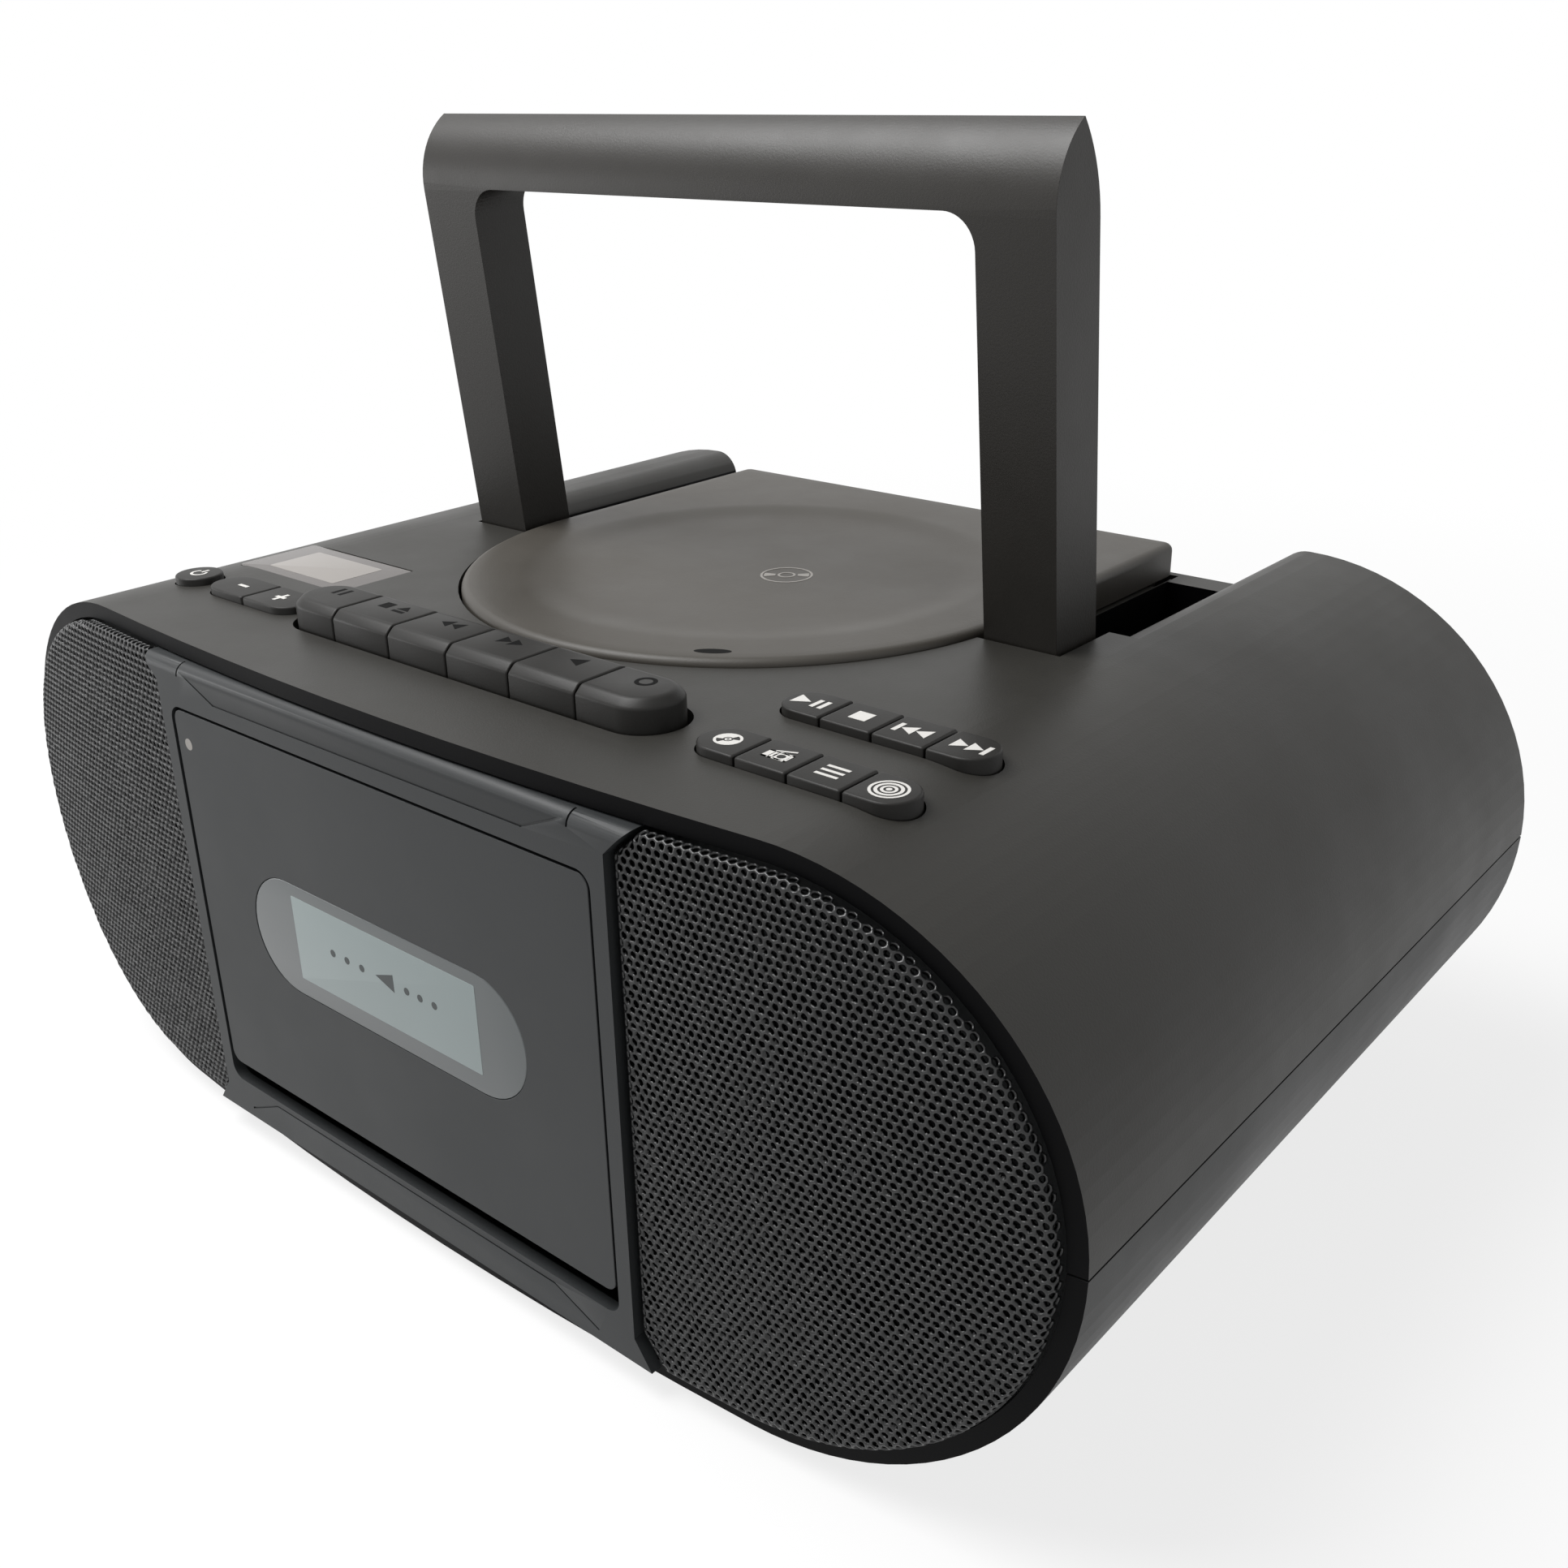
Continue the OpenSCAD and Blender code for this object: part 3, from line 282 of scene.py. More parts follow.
def printed(name, colour, roughness=0.45, gloss=0.5):
    """Pad-printed ink: an even, thin coat with the slight mottle of its ground showing through."""
    material, tree = new_material(name)
    place = add(tree, "ShaderNodeTexCoord").outputs["Object"]
    mottle = add(tree, "ShaderNodeTexNoise", {"Vector": place, "Scale": 1 / GRAIN, "Detail": 2.0})
    base = linear(colour)
    thin = [c * 0.86 for c in base[:3]] + [1]
    tint = add(tree, "ShaderNodeMix", {"Factor": mottle, 6: thin, 7: base}, data_type="RGBA")
    shader = add(tree, "ShaderNodeBsdfPrincipled", {"Base Color": tint.outputs[2], "Roughness": roughness,
                                                    "Specular IOR Level": gloss})
    add(tree, "ShaderNodeOutputMaterial", {"Surface": shader})
    return material


def acrylic(name, colour, roughness=0.12):
    """Polished acrylic over a printed ground: the ground's colour under a hard clear coat."""
    material, tree = new_material(name)
    place = add(tree, "ShaderNodeTexCoord").outputs["Object"]
    cloud = add(tree, "ShaderNodeTexNoise", {"Vector": place, "Scale": 1 / CLOUD, "Detail": 3.0})
    base = linear(colour)
    deep = [c * 0.94 for c in base[:3]] + [1]
    tint = add(tree, "ShaderNodeMix", {"Factor": cloud, 6: deep, 7: base}, data_type="RGBA")
    shader = add(tree, "ShaderNodeBsdfPrincipled", {"Base Color": tint.outputs[2], "Roughness": 0.5,
                                                    "IOR": ACRYLIC_IOR, "Coat Weight": 0.6,
                                                    "Coat Roughness": roughness})
    add(tree, "ShaderNodeOutputMaterial", {"Surface": shader})
    return material


# White epoxy ink, pad-printed on the buttons: chalky, with a thin edge.
WHITE_INK = printed("white_pad_print", "#d6d4d0")
# Painted shade: a nearly black film, with hardly any sheen, stands for the shade in the keys' sunk signs and
# the lid's thumb hollow.
PAINTED_SHADE_FILM = printed("painted_shade_film", "#050505", 0.6, gloss=0.05)
# Pale grey ink, pad-printed thin on the lid and the door: quieter than the white.
GREY_INK = printed("grey_pad_print", "#8d8984")
# Dark grey ink, screen-printed behind the lens: the tape's marks.
LENS_SIGN = printed("lens_sign_print", "#2f3536")
# Cast acrylic, polished and printed smoke grey from behind: a clear glint over a soft colour.
LENS_RIM = acrylic("smoked_acrylic", "#454a4b")
# The same acrylic, frosted from behind where the cassette shows: paler, with a wider glint.
LENS_CLEAR = acrylic("frosted_acrylic", "#7c8888", 0.3)
# Acrylic window over the display, polished and printed warm grey round its edge.
DISPLAY_RIM = acrylic("display_rim_acrylic", "#4d4845")
# Liquid-crystal cell under that window, with a brushed reflector behind it: pale and soft.
DISPLAY_CLEAR = acrylic("display_acrylic", "#85807b", 0.2)
print("inks and lenses:", [m.name for m in (WHITE_INK, PAINTED_SHADE_FILM, GREY_INK, LENS_SIGN, LENS_RIM, DISPLAY_RIM)])

# %% [markdown]
# ## Which finish goes where
# The record that came with the solids names a material slot for each of them. A table turns each slot into
# one of the finishes above, so that no solid is left plain, not even those deep inside the case.

# %% A finish for every solid

SLOT_FINISH = {
    "deck_plastic": DECK_PLASTIC, "case_plastic": CASE_PLASTIC, "button_plastic": KEY_PLASTIC,
    "inner_plastic": INNER_PLASTIC, "white_plastic": WHITE_PLASTIC, "grille_metal": GRILLE_COAT,
    "plated_steel": STEEL, "chrome_tube": CHROME, "brass_wheel": BRASS, "black_rubber": RUBBER,
    "circuit_board": BOARD, "cone_paper": CONE_PAPER, "smoked_lens": LENS_RIM,
    "display_lens": DISPLAY_RIM, "display_glass": DISPLAY_CLEAR}
node_slot = {entry["node"]: entry["material_slot"] for entry in frame["record"]["subparts"]}
body_of = {node: body for body, nodes in frame["record"]["behaviour"]["bodies"].items() for node in nodes}
for node, solid in frame["nodes"].items():
    solid.data.materials.clear()
    solid.data.materials.append(SLOT_FINISH[node_slot[node]])
print("finishes given to", len(frame["nodes"]), "solids")

# %% [markdown]
# ## Rounding the edges
# No moulded edge is perfectly sharp: the radius at each corner is what catches the light. The solids come
# as loose triangles, so each one that shows is copied, its doubled points are merged and its flat
# triangles are joined into whole faces. Then a Bevel modifier rounds every edge that turns sharply.

# %% Helpers for pieces


def link(name, mesh, material):
    """A new object for a mesh, with one material."""
    piece = bpy.data.objects.new(name, mesh)
    bpy.context.scene.collection.objects.link(piece)
    if material is not None:
        mesh.materials.clear()
        mesh.materials.append(material)
    return piece


def settle(piece):
    """Turns a piece's modifiers into a plain mesh."""
    graph = bpy.context.evaluated_depsgraph_get()
    mesh = bpy.data.meshes.new_from_object(piece.evaluated_get(graph))
    piece.modifiers.clear()
    piece.data = mesh
    return piece


def smooth(mesh, angle=32):
    """Smooth shading, but sharp where faces meet at more than the angle."""
    for face in mesh.polygons:
        face.use_smooth = True
    mesh.set_sharp_from_angle(angle=math.radians(angle))


def own(piece, node):
    """The piece stands for a solid and moves with its body."""
    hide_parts(node)
    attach(piece, body_of[node])
    return piece


print("smooth shading stops at corners sharper than 32 degrees")

# %% Bevelled copies

# Points closer than this are the same corner of a solid.
WELD = 0.01 * MM


def rounded_copy(node, radius, material=None, segments=2, angle=30):
    """Stands in for a solid: its triangles merged into faces, and its edges rounded to a radius in mm."""
    mesh = frame["nodes"][node].data.copy()
    work = bmesh.new()
    work.from_mesh(mesh)
    bmesh.ops.remove_doubles(work, verts=work.verts, dist=WELD)
    bmesh.ops.dissolve_limit(work, angle_limit=math.radians(0.3), verts=work.verts, edges=work.edges)
    work.to_mesh(mesh)
    work.free()
    piece = link(node + "_finished", mesh, material or SLOT_FINISH[node_slot[node]])
    smooth(mesh)
    bevel = piece.modifiers.new("edges", "BEVEL")
    bevel.width = radius * MM
    bevel.segments = segments
    bevel.limit_method = "ANGLE"
    bevel.angle_limit = math.radians(angle)
    bevel.use_clamp_overlap = True
    bevel.harden_normals = True
    settle(piece)
    return own(piece, node)


print("edges sharper than 30 degrees will be rounded")

# %% [markdown]
# Two parts of the casing are painted in shade. The narrow rim that faces forwards and the deep slots for the
# handle's arms see little light, and a second, nearly black material on those faces paints that shade.

# %% Painted shade on the casing

RIM_DEPTH = 16.0
FORWARDS = 0.4
SLOT_X = (79.0, 101.0)
SLOT_Y = (120.0, 221.0)
SLOT_TOP = DECK - 1.5


def give_faces(piece, material, chosen):
    """Puts a second material on the faces that a rule chooses, by their normal and centre in mm."""
    piece.data.materials.append(material)
    added = len(piece.data.materials) - 1
    for face in piece.data.polygons:
        centre = (face.center - Vector((0, FACE_Y, UNDERSIDE))) / MM
        if chosen(face.normal, centre):
            face.material_index = added


def faces_forwards(normal, centre):
    return normal.y < -FORWARDS and centre.y < RIM_DEPTH


def lies_in_slot(normal, centre):
    return (SLOT_X[0] < abs(centre.x) < SLOT_X[1] and SLOT_Y[0] < centre.y < SLOT_Y[1]
            and centre.z < SLOT_TOP)


# %% Round the solids that show

# Radius of each piece's edges in millimetres; larger on what is gripped or stood on.
ROUNDED = {
    "upper_cabinet": 0.5, "lower_cabinet": 0.5, "handle": 0.9, "front_panel": 0.5, "battery_cover": 0.4,
    "antenna_base": 0.5, "feet": 0.8, "rear_sockets": 0.3, "cassette_holder": 0.3, "cd_well": 0.4,
    "cd_clamp": 0.4, "optical_pickup": 0.3, "antenna_tip": 0.4}
OTHER_FINISH = {"front_panel": DOOR_PLASTIC, "handle": HANDLE_PLASTIC}
for node, radius in ROUNDED.items():
    piece = rounded_copy(node, radius, OTHER_FINISH.get(node))
    # Painted shade: the forward faces of both cabinets and the faces in the handle's slots take the nearly
    # black material.
    if node.endswith("_cabinet"):
        give_faces(piece, PAINTED_SHADE_PLASTIC, faces_forwards)
    if node == "upper_cabinet":
        give_faces(piece, PAINTED_SHADE_PLASTIC, lies_in_slot)
    print(node, "rounded to", radius, "mm,", len(piece.data.polygons), "faces")

# %% [markdown]
# ## Outlines
# Keys, buttons and lenses are all slabs: an outline with rounded ends, and a top whose edge is rounded off.
# An outline is worked out as points round a pill, and a slab is built from it ring by ring.

# %% Outlines and slabs
ROUND_STEPS = 10
# Two places closer than this, in millimetres, are the same place.
SAME = 1e-4


def arc(cx, cy, r, start, end, steps):
    """Points along an arc, angles in degrees, both ends included."""
    turns = [math.radians(start + (end - start) * i / steps) for i in range(steps + 1)]
    return [(cx + r * math.cos(t), cy + r * math.sin(t)) for t in turns]


def slice_of_pill(x0, x1, pill_x0, pill_x1, y_mid, r, inset=0.0, side_inset=0.0, corner=0.45):
    """The part of a pill between two widths: round where the pill ends, with small corners elsewhere."""
    points = []
    for side, x, end in ((1, x1, pill_x1), (-1, x0, pill_x0)):
        start = -90 if side > 0 else 90
        if abs(x - end) < SAME:
            points += arc(x - side * r, y_mid, r - inset, start, start + 180, 2 * ROUND_STEPS)
        else:
            inner = x - side * (corner + side_inset)
            tall = r - inset - corner
            points += arc(inner, y_mid - side * tall, corner, start, start + 90, 3)
            points += arc(inner, y_mid + side * tall, corner, start + 90, start + 180, 3)
    return points


def shrink(points, inset):
    """The outline moved inwards by inset, point by point along its own corner bisectors."""
    count = len(points)
    moved = []
    for i, (x, y) in enumerate(points):
        before, after = Vector(points[i - 1]), Vector(points[(i + 1) % count])
        here = Vector((x, y))
        first = (here - before).normalized() if (here - before).length > 1e-9 else (after - here).normalized()
        second = (after - here).normalized() if (after - here).length > 1e-9 else first
        normal = Vector((-(first + second).y, (first + second).x)).normalized()
        stretch = max(0.4, normal.dot(Vector((-first.y, first.x))))
        moved.append((x + normal.x * inset / stretch, y + normal.y * inset / stretch))
    return moved


print("a pill's end is drawn with", 2 * ROUND_STEPS, "steps")

# %% Skins and slabs


def skin(rings, place, close_low=True, close_high=True):
    """A closed mesh from rings of (points, height); place turns (x, y, height) into metres."""
    work = bmesh.new()
    layers = []
    for points, height in rings:
        layers.append([work.verts.new(place(x, y, height)) for x, y in points])
    count = len(layers[0])
    for low, high in zip(layers, layers[1:]):
        for i in range(count):
            j = (i + 1) % count
            work.faces.new((low[i], low[j], high[j], high[i]))
    if close_low:
        work.faces.new(list(reversed(layers[0])))
    if close_high:
        work.faces.new(layers[-1])
    bmesh.ops.recalc_face_normals(work, faces=work.faces)
    mesh = bpy.data.meshes.new("skin")
    work.to_mesh(mesh)
    work.free()
    return mesh


def rounded_rings(points, low, high, radius, steps=4):
    """Rings of a slab whose upper edge is rounded."""
    rings = [(points, low), (points, high - radius)]
    for i in range(1, steps + 1):
        turn = math.radians(90 * i / steps)
        rings.append((shrink(points, radius * (1 - math.cos(turn))), high - radius * (1 - math.sin(turn))))
    return rings


def facing(x, z, out):
    """For a slab on the front: its second number is a height, and it grows towards the viewer."""
    return at(x, -out, z)


def slab(name, points, low, high, radius, material, place=at, angle=32):
    piece = link(name, skin(rounded_rings(points, low, high, radius), place), material)
    smooth(piece.data, angle)
    return piece


print("slabs round their upper edge in 4 steps")

# %% [markdown]
# ## Printed signs
# The signs are pad-printed: a soft pad lays a film of ink on the plastic. Each sign is a few plain shapes,
# bars, triangles and rings, which are drawn in millimetres and raised by a few hundredths of a millimetre.
# The names that a maker would print beside the buttons are left out.

# %% Shapes for signs
INK = 0.06
# Thickness of the black film that paints the shade in the keys' sunk signs and the lid's thumb hollow.
SHADE_FILM_THICKNESS = 0.02
# Every sign starts a little inside its ground, so that no gap shows under it.
SUNK = 0.03


def bar(x, y, w, h):
    """A rectangle about its centre."""
    return [[(x - w / 2, y - h / 2), (x + w / 2, y - h / 2), (x + w / 2, y + h / 2), (x - w / 2, y + h / 2)]]


def wedge(x, y, w, h, side):
    """Triangle pointing right for side 1 and left for side -1."""
    points = [(x - side * w / 2, y - h / 2), (x + side * w / 2, y), (x - side * w / 2, y + h / 2)]
    return [points if side > 0 else points[::-1]]


def ring(x, y, outer, inner, start=0, end=360):
    """A ring as a row of small quads; a full disc when inner is 0."""
    steps = max(8, int((end - start) / 15))
    out = arc(x, y, outer, start, end, steps)
    if inner <= 0:
        return [out[:-1]]
    inn = arc(x, y, inner, start, end, steps)
    return [[inn[i], out[i], out[i + 1], inn[i + 1]] for i in range(steps)]


def stroke(x0, y0, x1, y1, w):
    """A slanting bar between two places."""
    along = Vector((x1 - x0, y1 - y0)).normalized() * w / 2
    side = Vector((-along.y, along.x))
    a, b = Vector((x0, y0)) - along, Vector((x1, y1)) + along
    return [[tuple(a - side), tuple(b - side), tuple(b + side), tuple(a + side)]]


print("a ring with a hole has", len(ring(0, 0, 2, 1)), "shapes")

# %% Signs


def sign(name, shapes, place, body, material=None, ink=INK):
    """One mesh of raised flat shapes; place turns (x, y, rise) into metres."""
    work = bmesh.new()
    for points in shapes:
        low = [work.verts.new(place(x, y, -SUNK)) for x, y in points]
        high = [work.verts.new(place(x, y, ink)) for x, y in points]
        work.faces.new(low[::-1])
        work.faces.new(high)
        for i in range(len(points)):
            j = (i + 1) % len(points)
            work.faces.new((low[i], low[j], high[j], high[i]))
    bmesh.ops.remove_doubles(work, verts=work.verts, dist=0.001 * MM)
    bmesh.ops.recalc_face_normals(work, faces=work.faces)
    mesh = bpy.data.meshes.new(name)
    work.to_mesh(mesh)
    work.free()
    piece = link(name, mesh, material or WHITE_INK)
    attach(piece, body)
    return piece


def on_top(cx, cy, top):
    """Places a sign on a level surface, centred at a width and depth."""
    return lambda x, y, rise: at(cx + x, cy + y, top + rise)


def on_front(cx, cz, face=0.0):
    """Places a sign on an upright face that looks forwards."""
    return lambda x, z, rise: at(cx + x, face - rise, cz + z)


print("a sign's ink is", INK, "mm thick")

# %% [markdown]
# ## Piano keys
# Six keys press the tape mechanism. Each stands about seven millimetres proud, and the two outer ones are
# rounded to follow the hole. A slope two millimetres wide runs round the front, the back and the outer ends,
# but not along the sides where two keys meet. The signs are sunk into the mould; their shade is painted as a
# black film.

# %% Piano keys
KEY_NAMES = ["key_pause", "key_stop", "key_rewind", "key_forward", "key_play", "key_record"]
key_row = (box_mm("key_pause")[0].x, box_mm("key_record")[1].x)
KEY_FRONT = box_mm("key_play")[0].y
KEY_TOP = box_mm("key_play")[1].z
KEY_HALF = 8.65
KEY_FOOT = 1.0
SIGN_SET_BACK = 2.2
# Inset at the front and the ends, inset at the sides, and drop below the top, from the slope's foot upwards.
KEY_PROFILE = [(0.0, 0.0, 2.3), (0.15, 0.05, 1.9), (0.4, 0.1, 1.55), (1.5, 0.15, 0.5), (1.85, 0.2, 0.25),
               (2.3, 0.35, 0.08), (2.8, 0.6, 0.0)]
KEY_SIGNS = {
    "key_pause": bar(-1.3, 0, 1.2, 4.2) + bar(1.3, 0, 1.2, 4.2),
    "key_stop": bar(-3.0, 0, 3.4, 3.4) + bar(3.0, -1.6, 4.2, 1.1) + [[(0.9, -0.4), (5.1, -0.4), (3.0, 2.2)]],
    "key_rewind": wedge(-1.8, 0, 3.4, 4.0, -1) + wedge(1.8, 0, 3.4, 4.0, -1),
    "key_forward": wedge(-1.8, 0, 3.4, 4.0, 1) + wedge(1.8, 0, 3.4, 4.0, 1),
    "key_play": wedge(0, 0, 4.2, 4.4, -1),
    "key_record": ring(0, 0, 2.5, 1.5)}


print("signs drawn for", len(KEY_SIGNS), "keys")

# %% Build the keys


def make_key(name):
    """One key's cap with its sloped edges, and the sign on it."""
    low, high = box_mm(name)
    middle = KEY_FRONT + KEY_HALF
    span = (low.x, high.x, *key_row, middle, KEY_HALF)
    rings = [(slice_of_pill(*span), low.z + KEY_FOOT)]
    for inset, side_inset, drop in KEY_PROFILE:
        rings.append((slice_of_pill(*span, inset, side_inset), KEY_TOP - drop))
    cap = link(name + "_cap", skin(rings, at), KEY_PLASTIC)
    smooth(cap.data, 38)
    own(cap, name)
    centre = (low.x + high.x) / 2
    # Painted shade: the sunk sign is drawn as a thin black film on the key's top.
    sign(name + "_sign", KEY_SIGNS[name], on_top(centre, middle + SIGN_SET_BACK, KEY_TOP), name,
         PAINTED_SHADE_FILM, SHADE_FILM_THICKNESS)


for name in KEY_NAMES:
    make_key(name)
print("piano keys:", len(KEY_NAMES), "top at", round(KEY_TOP, 2), "mm")

# %% [markdown]
# ## Small buttons
# The small buttons share pill-shaped openings, four to a row on the right and two on the left. Their tops
# are softly rounded and stand about two millimetres proud. White signs say what they do.

# %% Small buttons
BUTTON_HALF = 6.1
# Half of the gap between two buttons of a row.
BUTTON_GAP = 0.12
# Inset at the front and the ends, inset at the sides, and drop below the top.
BUTTON_PROFILE = [(0.0, 0.0, 0.45), (0.1, 0.1, 0.2), (0.3, 0.3, 0.04), (0.6, 0.6, 0.0)]
FAR_ROW = ["btn_disc_play", "btn_disc_stop", "btn_previous", "btn_next"]
NEAR_ROW = ["btn_disc", "btn_radio", "btn_program", "btn_bass"]
VOLUME_ROW = ["btn_volume_down", "btn_volume_up"]
BUTTON_SIGNS = {
    "btn_disc_play": wedge(-2.2, 0, 4.0, 4.6, 1) + bar(1.3, 0, 1.1, 4.2) + bar(3.3, 0, 1.1, 4.2),
    "btn_disc_stop": bar(0, 0, 4.2, 4.2),
    "btn_previous": bar(-3.9, 0, 1.1, 4.2) + wedge(-1.5, 0, 3.3, 4.2, -1) + wedge(2.0, 0, 3.3, 4.2, -1),
    "btn_next": wedge(-2.0, 0, 3.3, 4.2, 1) + wedge(1.5, 0, 3.3, 4.2, 1) + bar(3.9, 0, 1.1, 4.2),
    "btn_disc": ring(0, 0, 3.0, 1.1, 70, 200) + ring(0, 0, 3.0, 1.1, 250, 380) + ring(0, 0, 3.0, 2.4, 20, 70)
    + ring(0, 0, 3.0, 2.4, 200, 250) + ring(0, 0, 0.7, 0.35),
    "btn_radio": bar(-2.3, -0.4, 1.4, 3.4) + bar(0, 1.05, 6.0, 0.5) + bar(0, -1.85, 6.0, 0.5)
    + bar(2.75, -0.4, 0.5, 3.4) + ring(0.9, -0.4, 1.75, 0.95) + bar(-0.9, -0.4, 1.0, 3.4)
    + stroke(-1.6, 1.4, 2.0, 2.9, 0.55),
    "btn_program": bar(0, 2.0, 5.4, 0.85) + bar(0, 0, 5.4, 0.85) + bar(0, -2.0, 5.4, 0.85),
    "btn_bass": ring(0, 0, 4.0, 3.4) + ring(0, 0, 2.9, 2.2) + ring(0, 0, 1.7, 1.1) + ring(0, 0, 0.6, 0),
    "btn_volume_down": bar(1.0, 0, 3.8, 1.1),
    "btn_volume_up": bar(-1.0, 0, 3.8, 1.1) + bar(-1.0, 1.45, 1.1, 1.8) + bar(-1.0, -1.45, 1.1, 1.8),
    "btn_power": ring(0, 0, 2.3, 1.6, 130, 410) + bar(0, 1.9, 0.8, 2.2)}


print("signs drawn for", len(BUTTON_SIGNS), "buttons")

# %% Build the buttons


def make_button(name, pill_x0, pill_x1):
    """One button's cap, cut from its row's pill, and the white sign on it."""
    low, high = box_mm(name)
    middle = (low.y + high.y) / 2
    left = low.x if abs(low.x - pill_x0) < SAME else low.x + BUTTON_GAP
    right = high.x if abs(high.x - pill_x1) < SAME else high.x - BUTTON_GAP
    span = (left, right, pill_x0, pill_x1, middle, BUTTON_HALF)
    rings = [(slice_of_pill(*span), low.z)]
    for inset, side_inset, drop in BUTTON_PROFILE:
        rings.append((slice_of_pill(*span, inset, side_inset), high.z - drop))
    cap = link(name + "_cap", skin(rings, at), KEY_PLASTIC)
    smooth(cap.data, 38)
    own(cap, name)
    centre = (low.x + high.x) / 2
    sign(name + "_sign", BUTTON_SIGNS[name], on_top(centre, middle, high.z), name)


for row in (FAR_ROW, NEAR_ROW, VOLUME_ROW, ["btn_power"]):
    row_x0, row_x1 = box_mm(row[0])[0].x, box_mm(row[-1])[1].x
    for name in row:
        make_button(name, row_x0, row_x1)
    print("row of", len(row), "from", round(row_x0, 1), "to", round(row_x1, 1), "mm")

# %% [markdown]
# ## Disc lid
# The lid is one thin moulding: a round front, straight sides and a square back. Its top has a wide, shallow
# dish that the eye reads as a second circle. The whole top follows a rule, so it is built as rings that run
# from the lid's outline to smaller and smaller circles.

# %% Disc lid
lid_low, lid_high = box_mm("cd_lid")
LID_HALF = (lid_high.x - lid_low.x) / 2
LID_ARC_Y = lid_low.y + LID_HALF
LID_BACK = lid_high.y - LID_ARC_Y
LID_CORNER = 3.0
LID_WALL = 2.0
LID_EDGE = 2.2
LID_LOW_EDGE = 0.4
# The level band between the lid's edge and its dish, as insets of the outline.
LID_BAND = (5.0, 9.0)
# Radius and depth of the dish, from its rim inwards.
DISH_RINGS = [(65.0, 0.0), (63.5, 0.04), (62.0, 0.18), (60.0, 0.45), (58.0, 0.75), (56.0, 1.0), (54.0, 1.17),
              (51.0, 1.3), (44.0, 1.42), (32.0, 1.5), (18.0, 1.54), (6.0, 1.56)]


def lid_outline(inset):
    """The lid's outline about its arc's centre, always with the same number of points."""
    half, back = LID_HALF - inset, LID_BACK - inset
    corner = max(0.4, LID_CORNER - inset)
    side = [i / 8 * (back - corner) for i in range(1, 8)]
    rear = [half - corner - i / 16 * 2 * (half - corner) for i in range(1, 16)]
    points = arc(0, 0, half, 180, 360, 96)
    points += [(half, y) for y in side]
    points += arc(half - corner, back - corner, corner, 0, 90, 5)
    points += [(x, back) for x in rear]
    points += arc(corner - half, back - corner, corner, 90, 180, 5)
    points += [(-half, y) for y in reversed(side)]
    return points


def make_lid():
    """The lid as one skin: its wall, its rounded edge, a level band, and the dish."""
    low, high = lid_low.z, lid_high.z
    under = high - LID_WALL
    rings = [(lid_outline(LID_WALL), under), (lid_outline(LID_WALL), low), (lid_outline(LID_LOW_EDGE), low),
             (lid_outline(0), low + LID_LOW_EDGE), (lid_outline(0), high - LID_EDGE)]
    for step in range(1, 6):
        turn = math.radians(18 * step)
        rings.append((lid_outline(LID_EDGE * (1 - math.cos(turn))), high - LID_EDGE * (1 - math.sin(turn))))
    for inset in LID_BAND:
        rings.append((lid_outline(inset), high))
    bearings = [math.atan2(y, x) for x, y in lid_outline(LID_BAND[-1])]
    for radius, depth in DISH_RINGS:
        rings.append(([(radius * math.cos(t), radius * math.sin(t)) for t in bearings], high - depth))
    mesh = skin(rings, lambda x, y, z: at(x, LID_ARC_Y + y, z))
    piece = link("cd_lid_moulding", mesh, LID_PLASTIC)
    smooth(mesh, 40)
    return own(piece, "cd_lid")


lid = make_lid()
print("lid:", len(lid.data.polygons), "faces")

# %% Marks on the lid

THUMB_PLACE = (39.2, -60.9)
THUMB_SIZE = (4.4, 1.6)
THUMB_TURN = Matrix.Rotation(math.radians(32.8), 2)
DISC_SIGN_X = 9.9
# The dish is this deep where the disc sign is printed.
DISC_SIGN_DEPTH = 1.54
DISC_SIGN = (ring(0, 0, 7.0, 6.4) + ring(0, 0, 2.4, 1.8) + ring(0, 0, 6.0, 3.0, 20, 50)
             + ring(0, 0, 6.0, 3.0, 200, 230))


def on_thumb_mark(x, y, rise):
    """Beside the lid's front edge, turned to follow it."""
    turned = THUMB_TURN @ Vector((x, y))
    return at(THUMB_PLACE[0] + turned.x, LID_ARC_Y + THUMB_PLACE[1] + turned.y, lid_high.z + rise)


turns = [t / 12 * math.pi for t in range(24)]
thumb_oval = [(THUMB_SIZE[0] * math.cos(t), THUMB_SIZE[1] * math.sin(t)) for t in turns]
# Painted shade: a thin black oval stands for the shade in the thumb hollow beside the lid's front edge.
sign("cd_lid_push_mark", [thumb_oval], on_thumb_mark, "cd_lid", PAINTED_SHADE_FILM, SHADE_FILM_THICKNESS)
sign("cd_lid_disc_sign", DISC_SIGN, on_top(DISC_SIGN_X, LID_ARC_Y, lid_high.z - DISC_SIGN_DEPTH), "cd_lid",
     GREY_INK)
print("marks on the lid: 2")

# %% [markdown]
# ## Cassette door
# The door is a flat moulding with a pill-shaped lens let into it. The lens is printed from behind, smoked
# all round and clear in the middle, where the tape's marks show.

# %% Cassette door and its lens
door_low = box_mm("cassette_door")[0]
lens_low, lens_high = box_mm("cassette_window")
lens_mid = (lens_low.z + lens_high.z) / 2
LENS_HALF = (lens_high.z - lens_low.z) / 2
# How far the lens and its clear pane lie behind the front panel's face.
LENS_SUNK = 0.25
PANE_SUNK = 0.2
# Left, bottom, right and top of the clear pane.
PANE = (-32.4, 59.6, 34.0, 82.0)


def round_rectangle(x0, y0, x1, y1, r, steps=6):
    """An outline with four round corners."""
    return (arc(x1 - r, y0 + r, r, -90, 0, steps) + arc(x1 - r, y1 - r, r, 0, 90, steps)
            + arc(x0 + r, y1 - r, r, 90, 180, steps) + arc(x0 + r, y0 + r, r, 180, 270, steps))


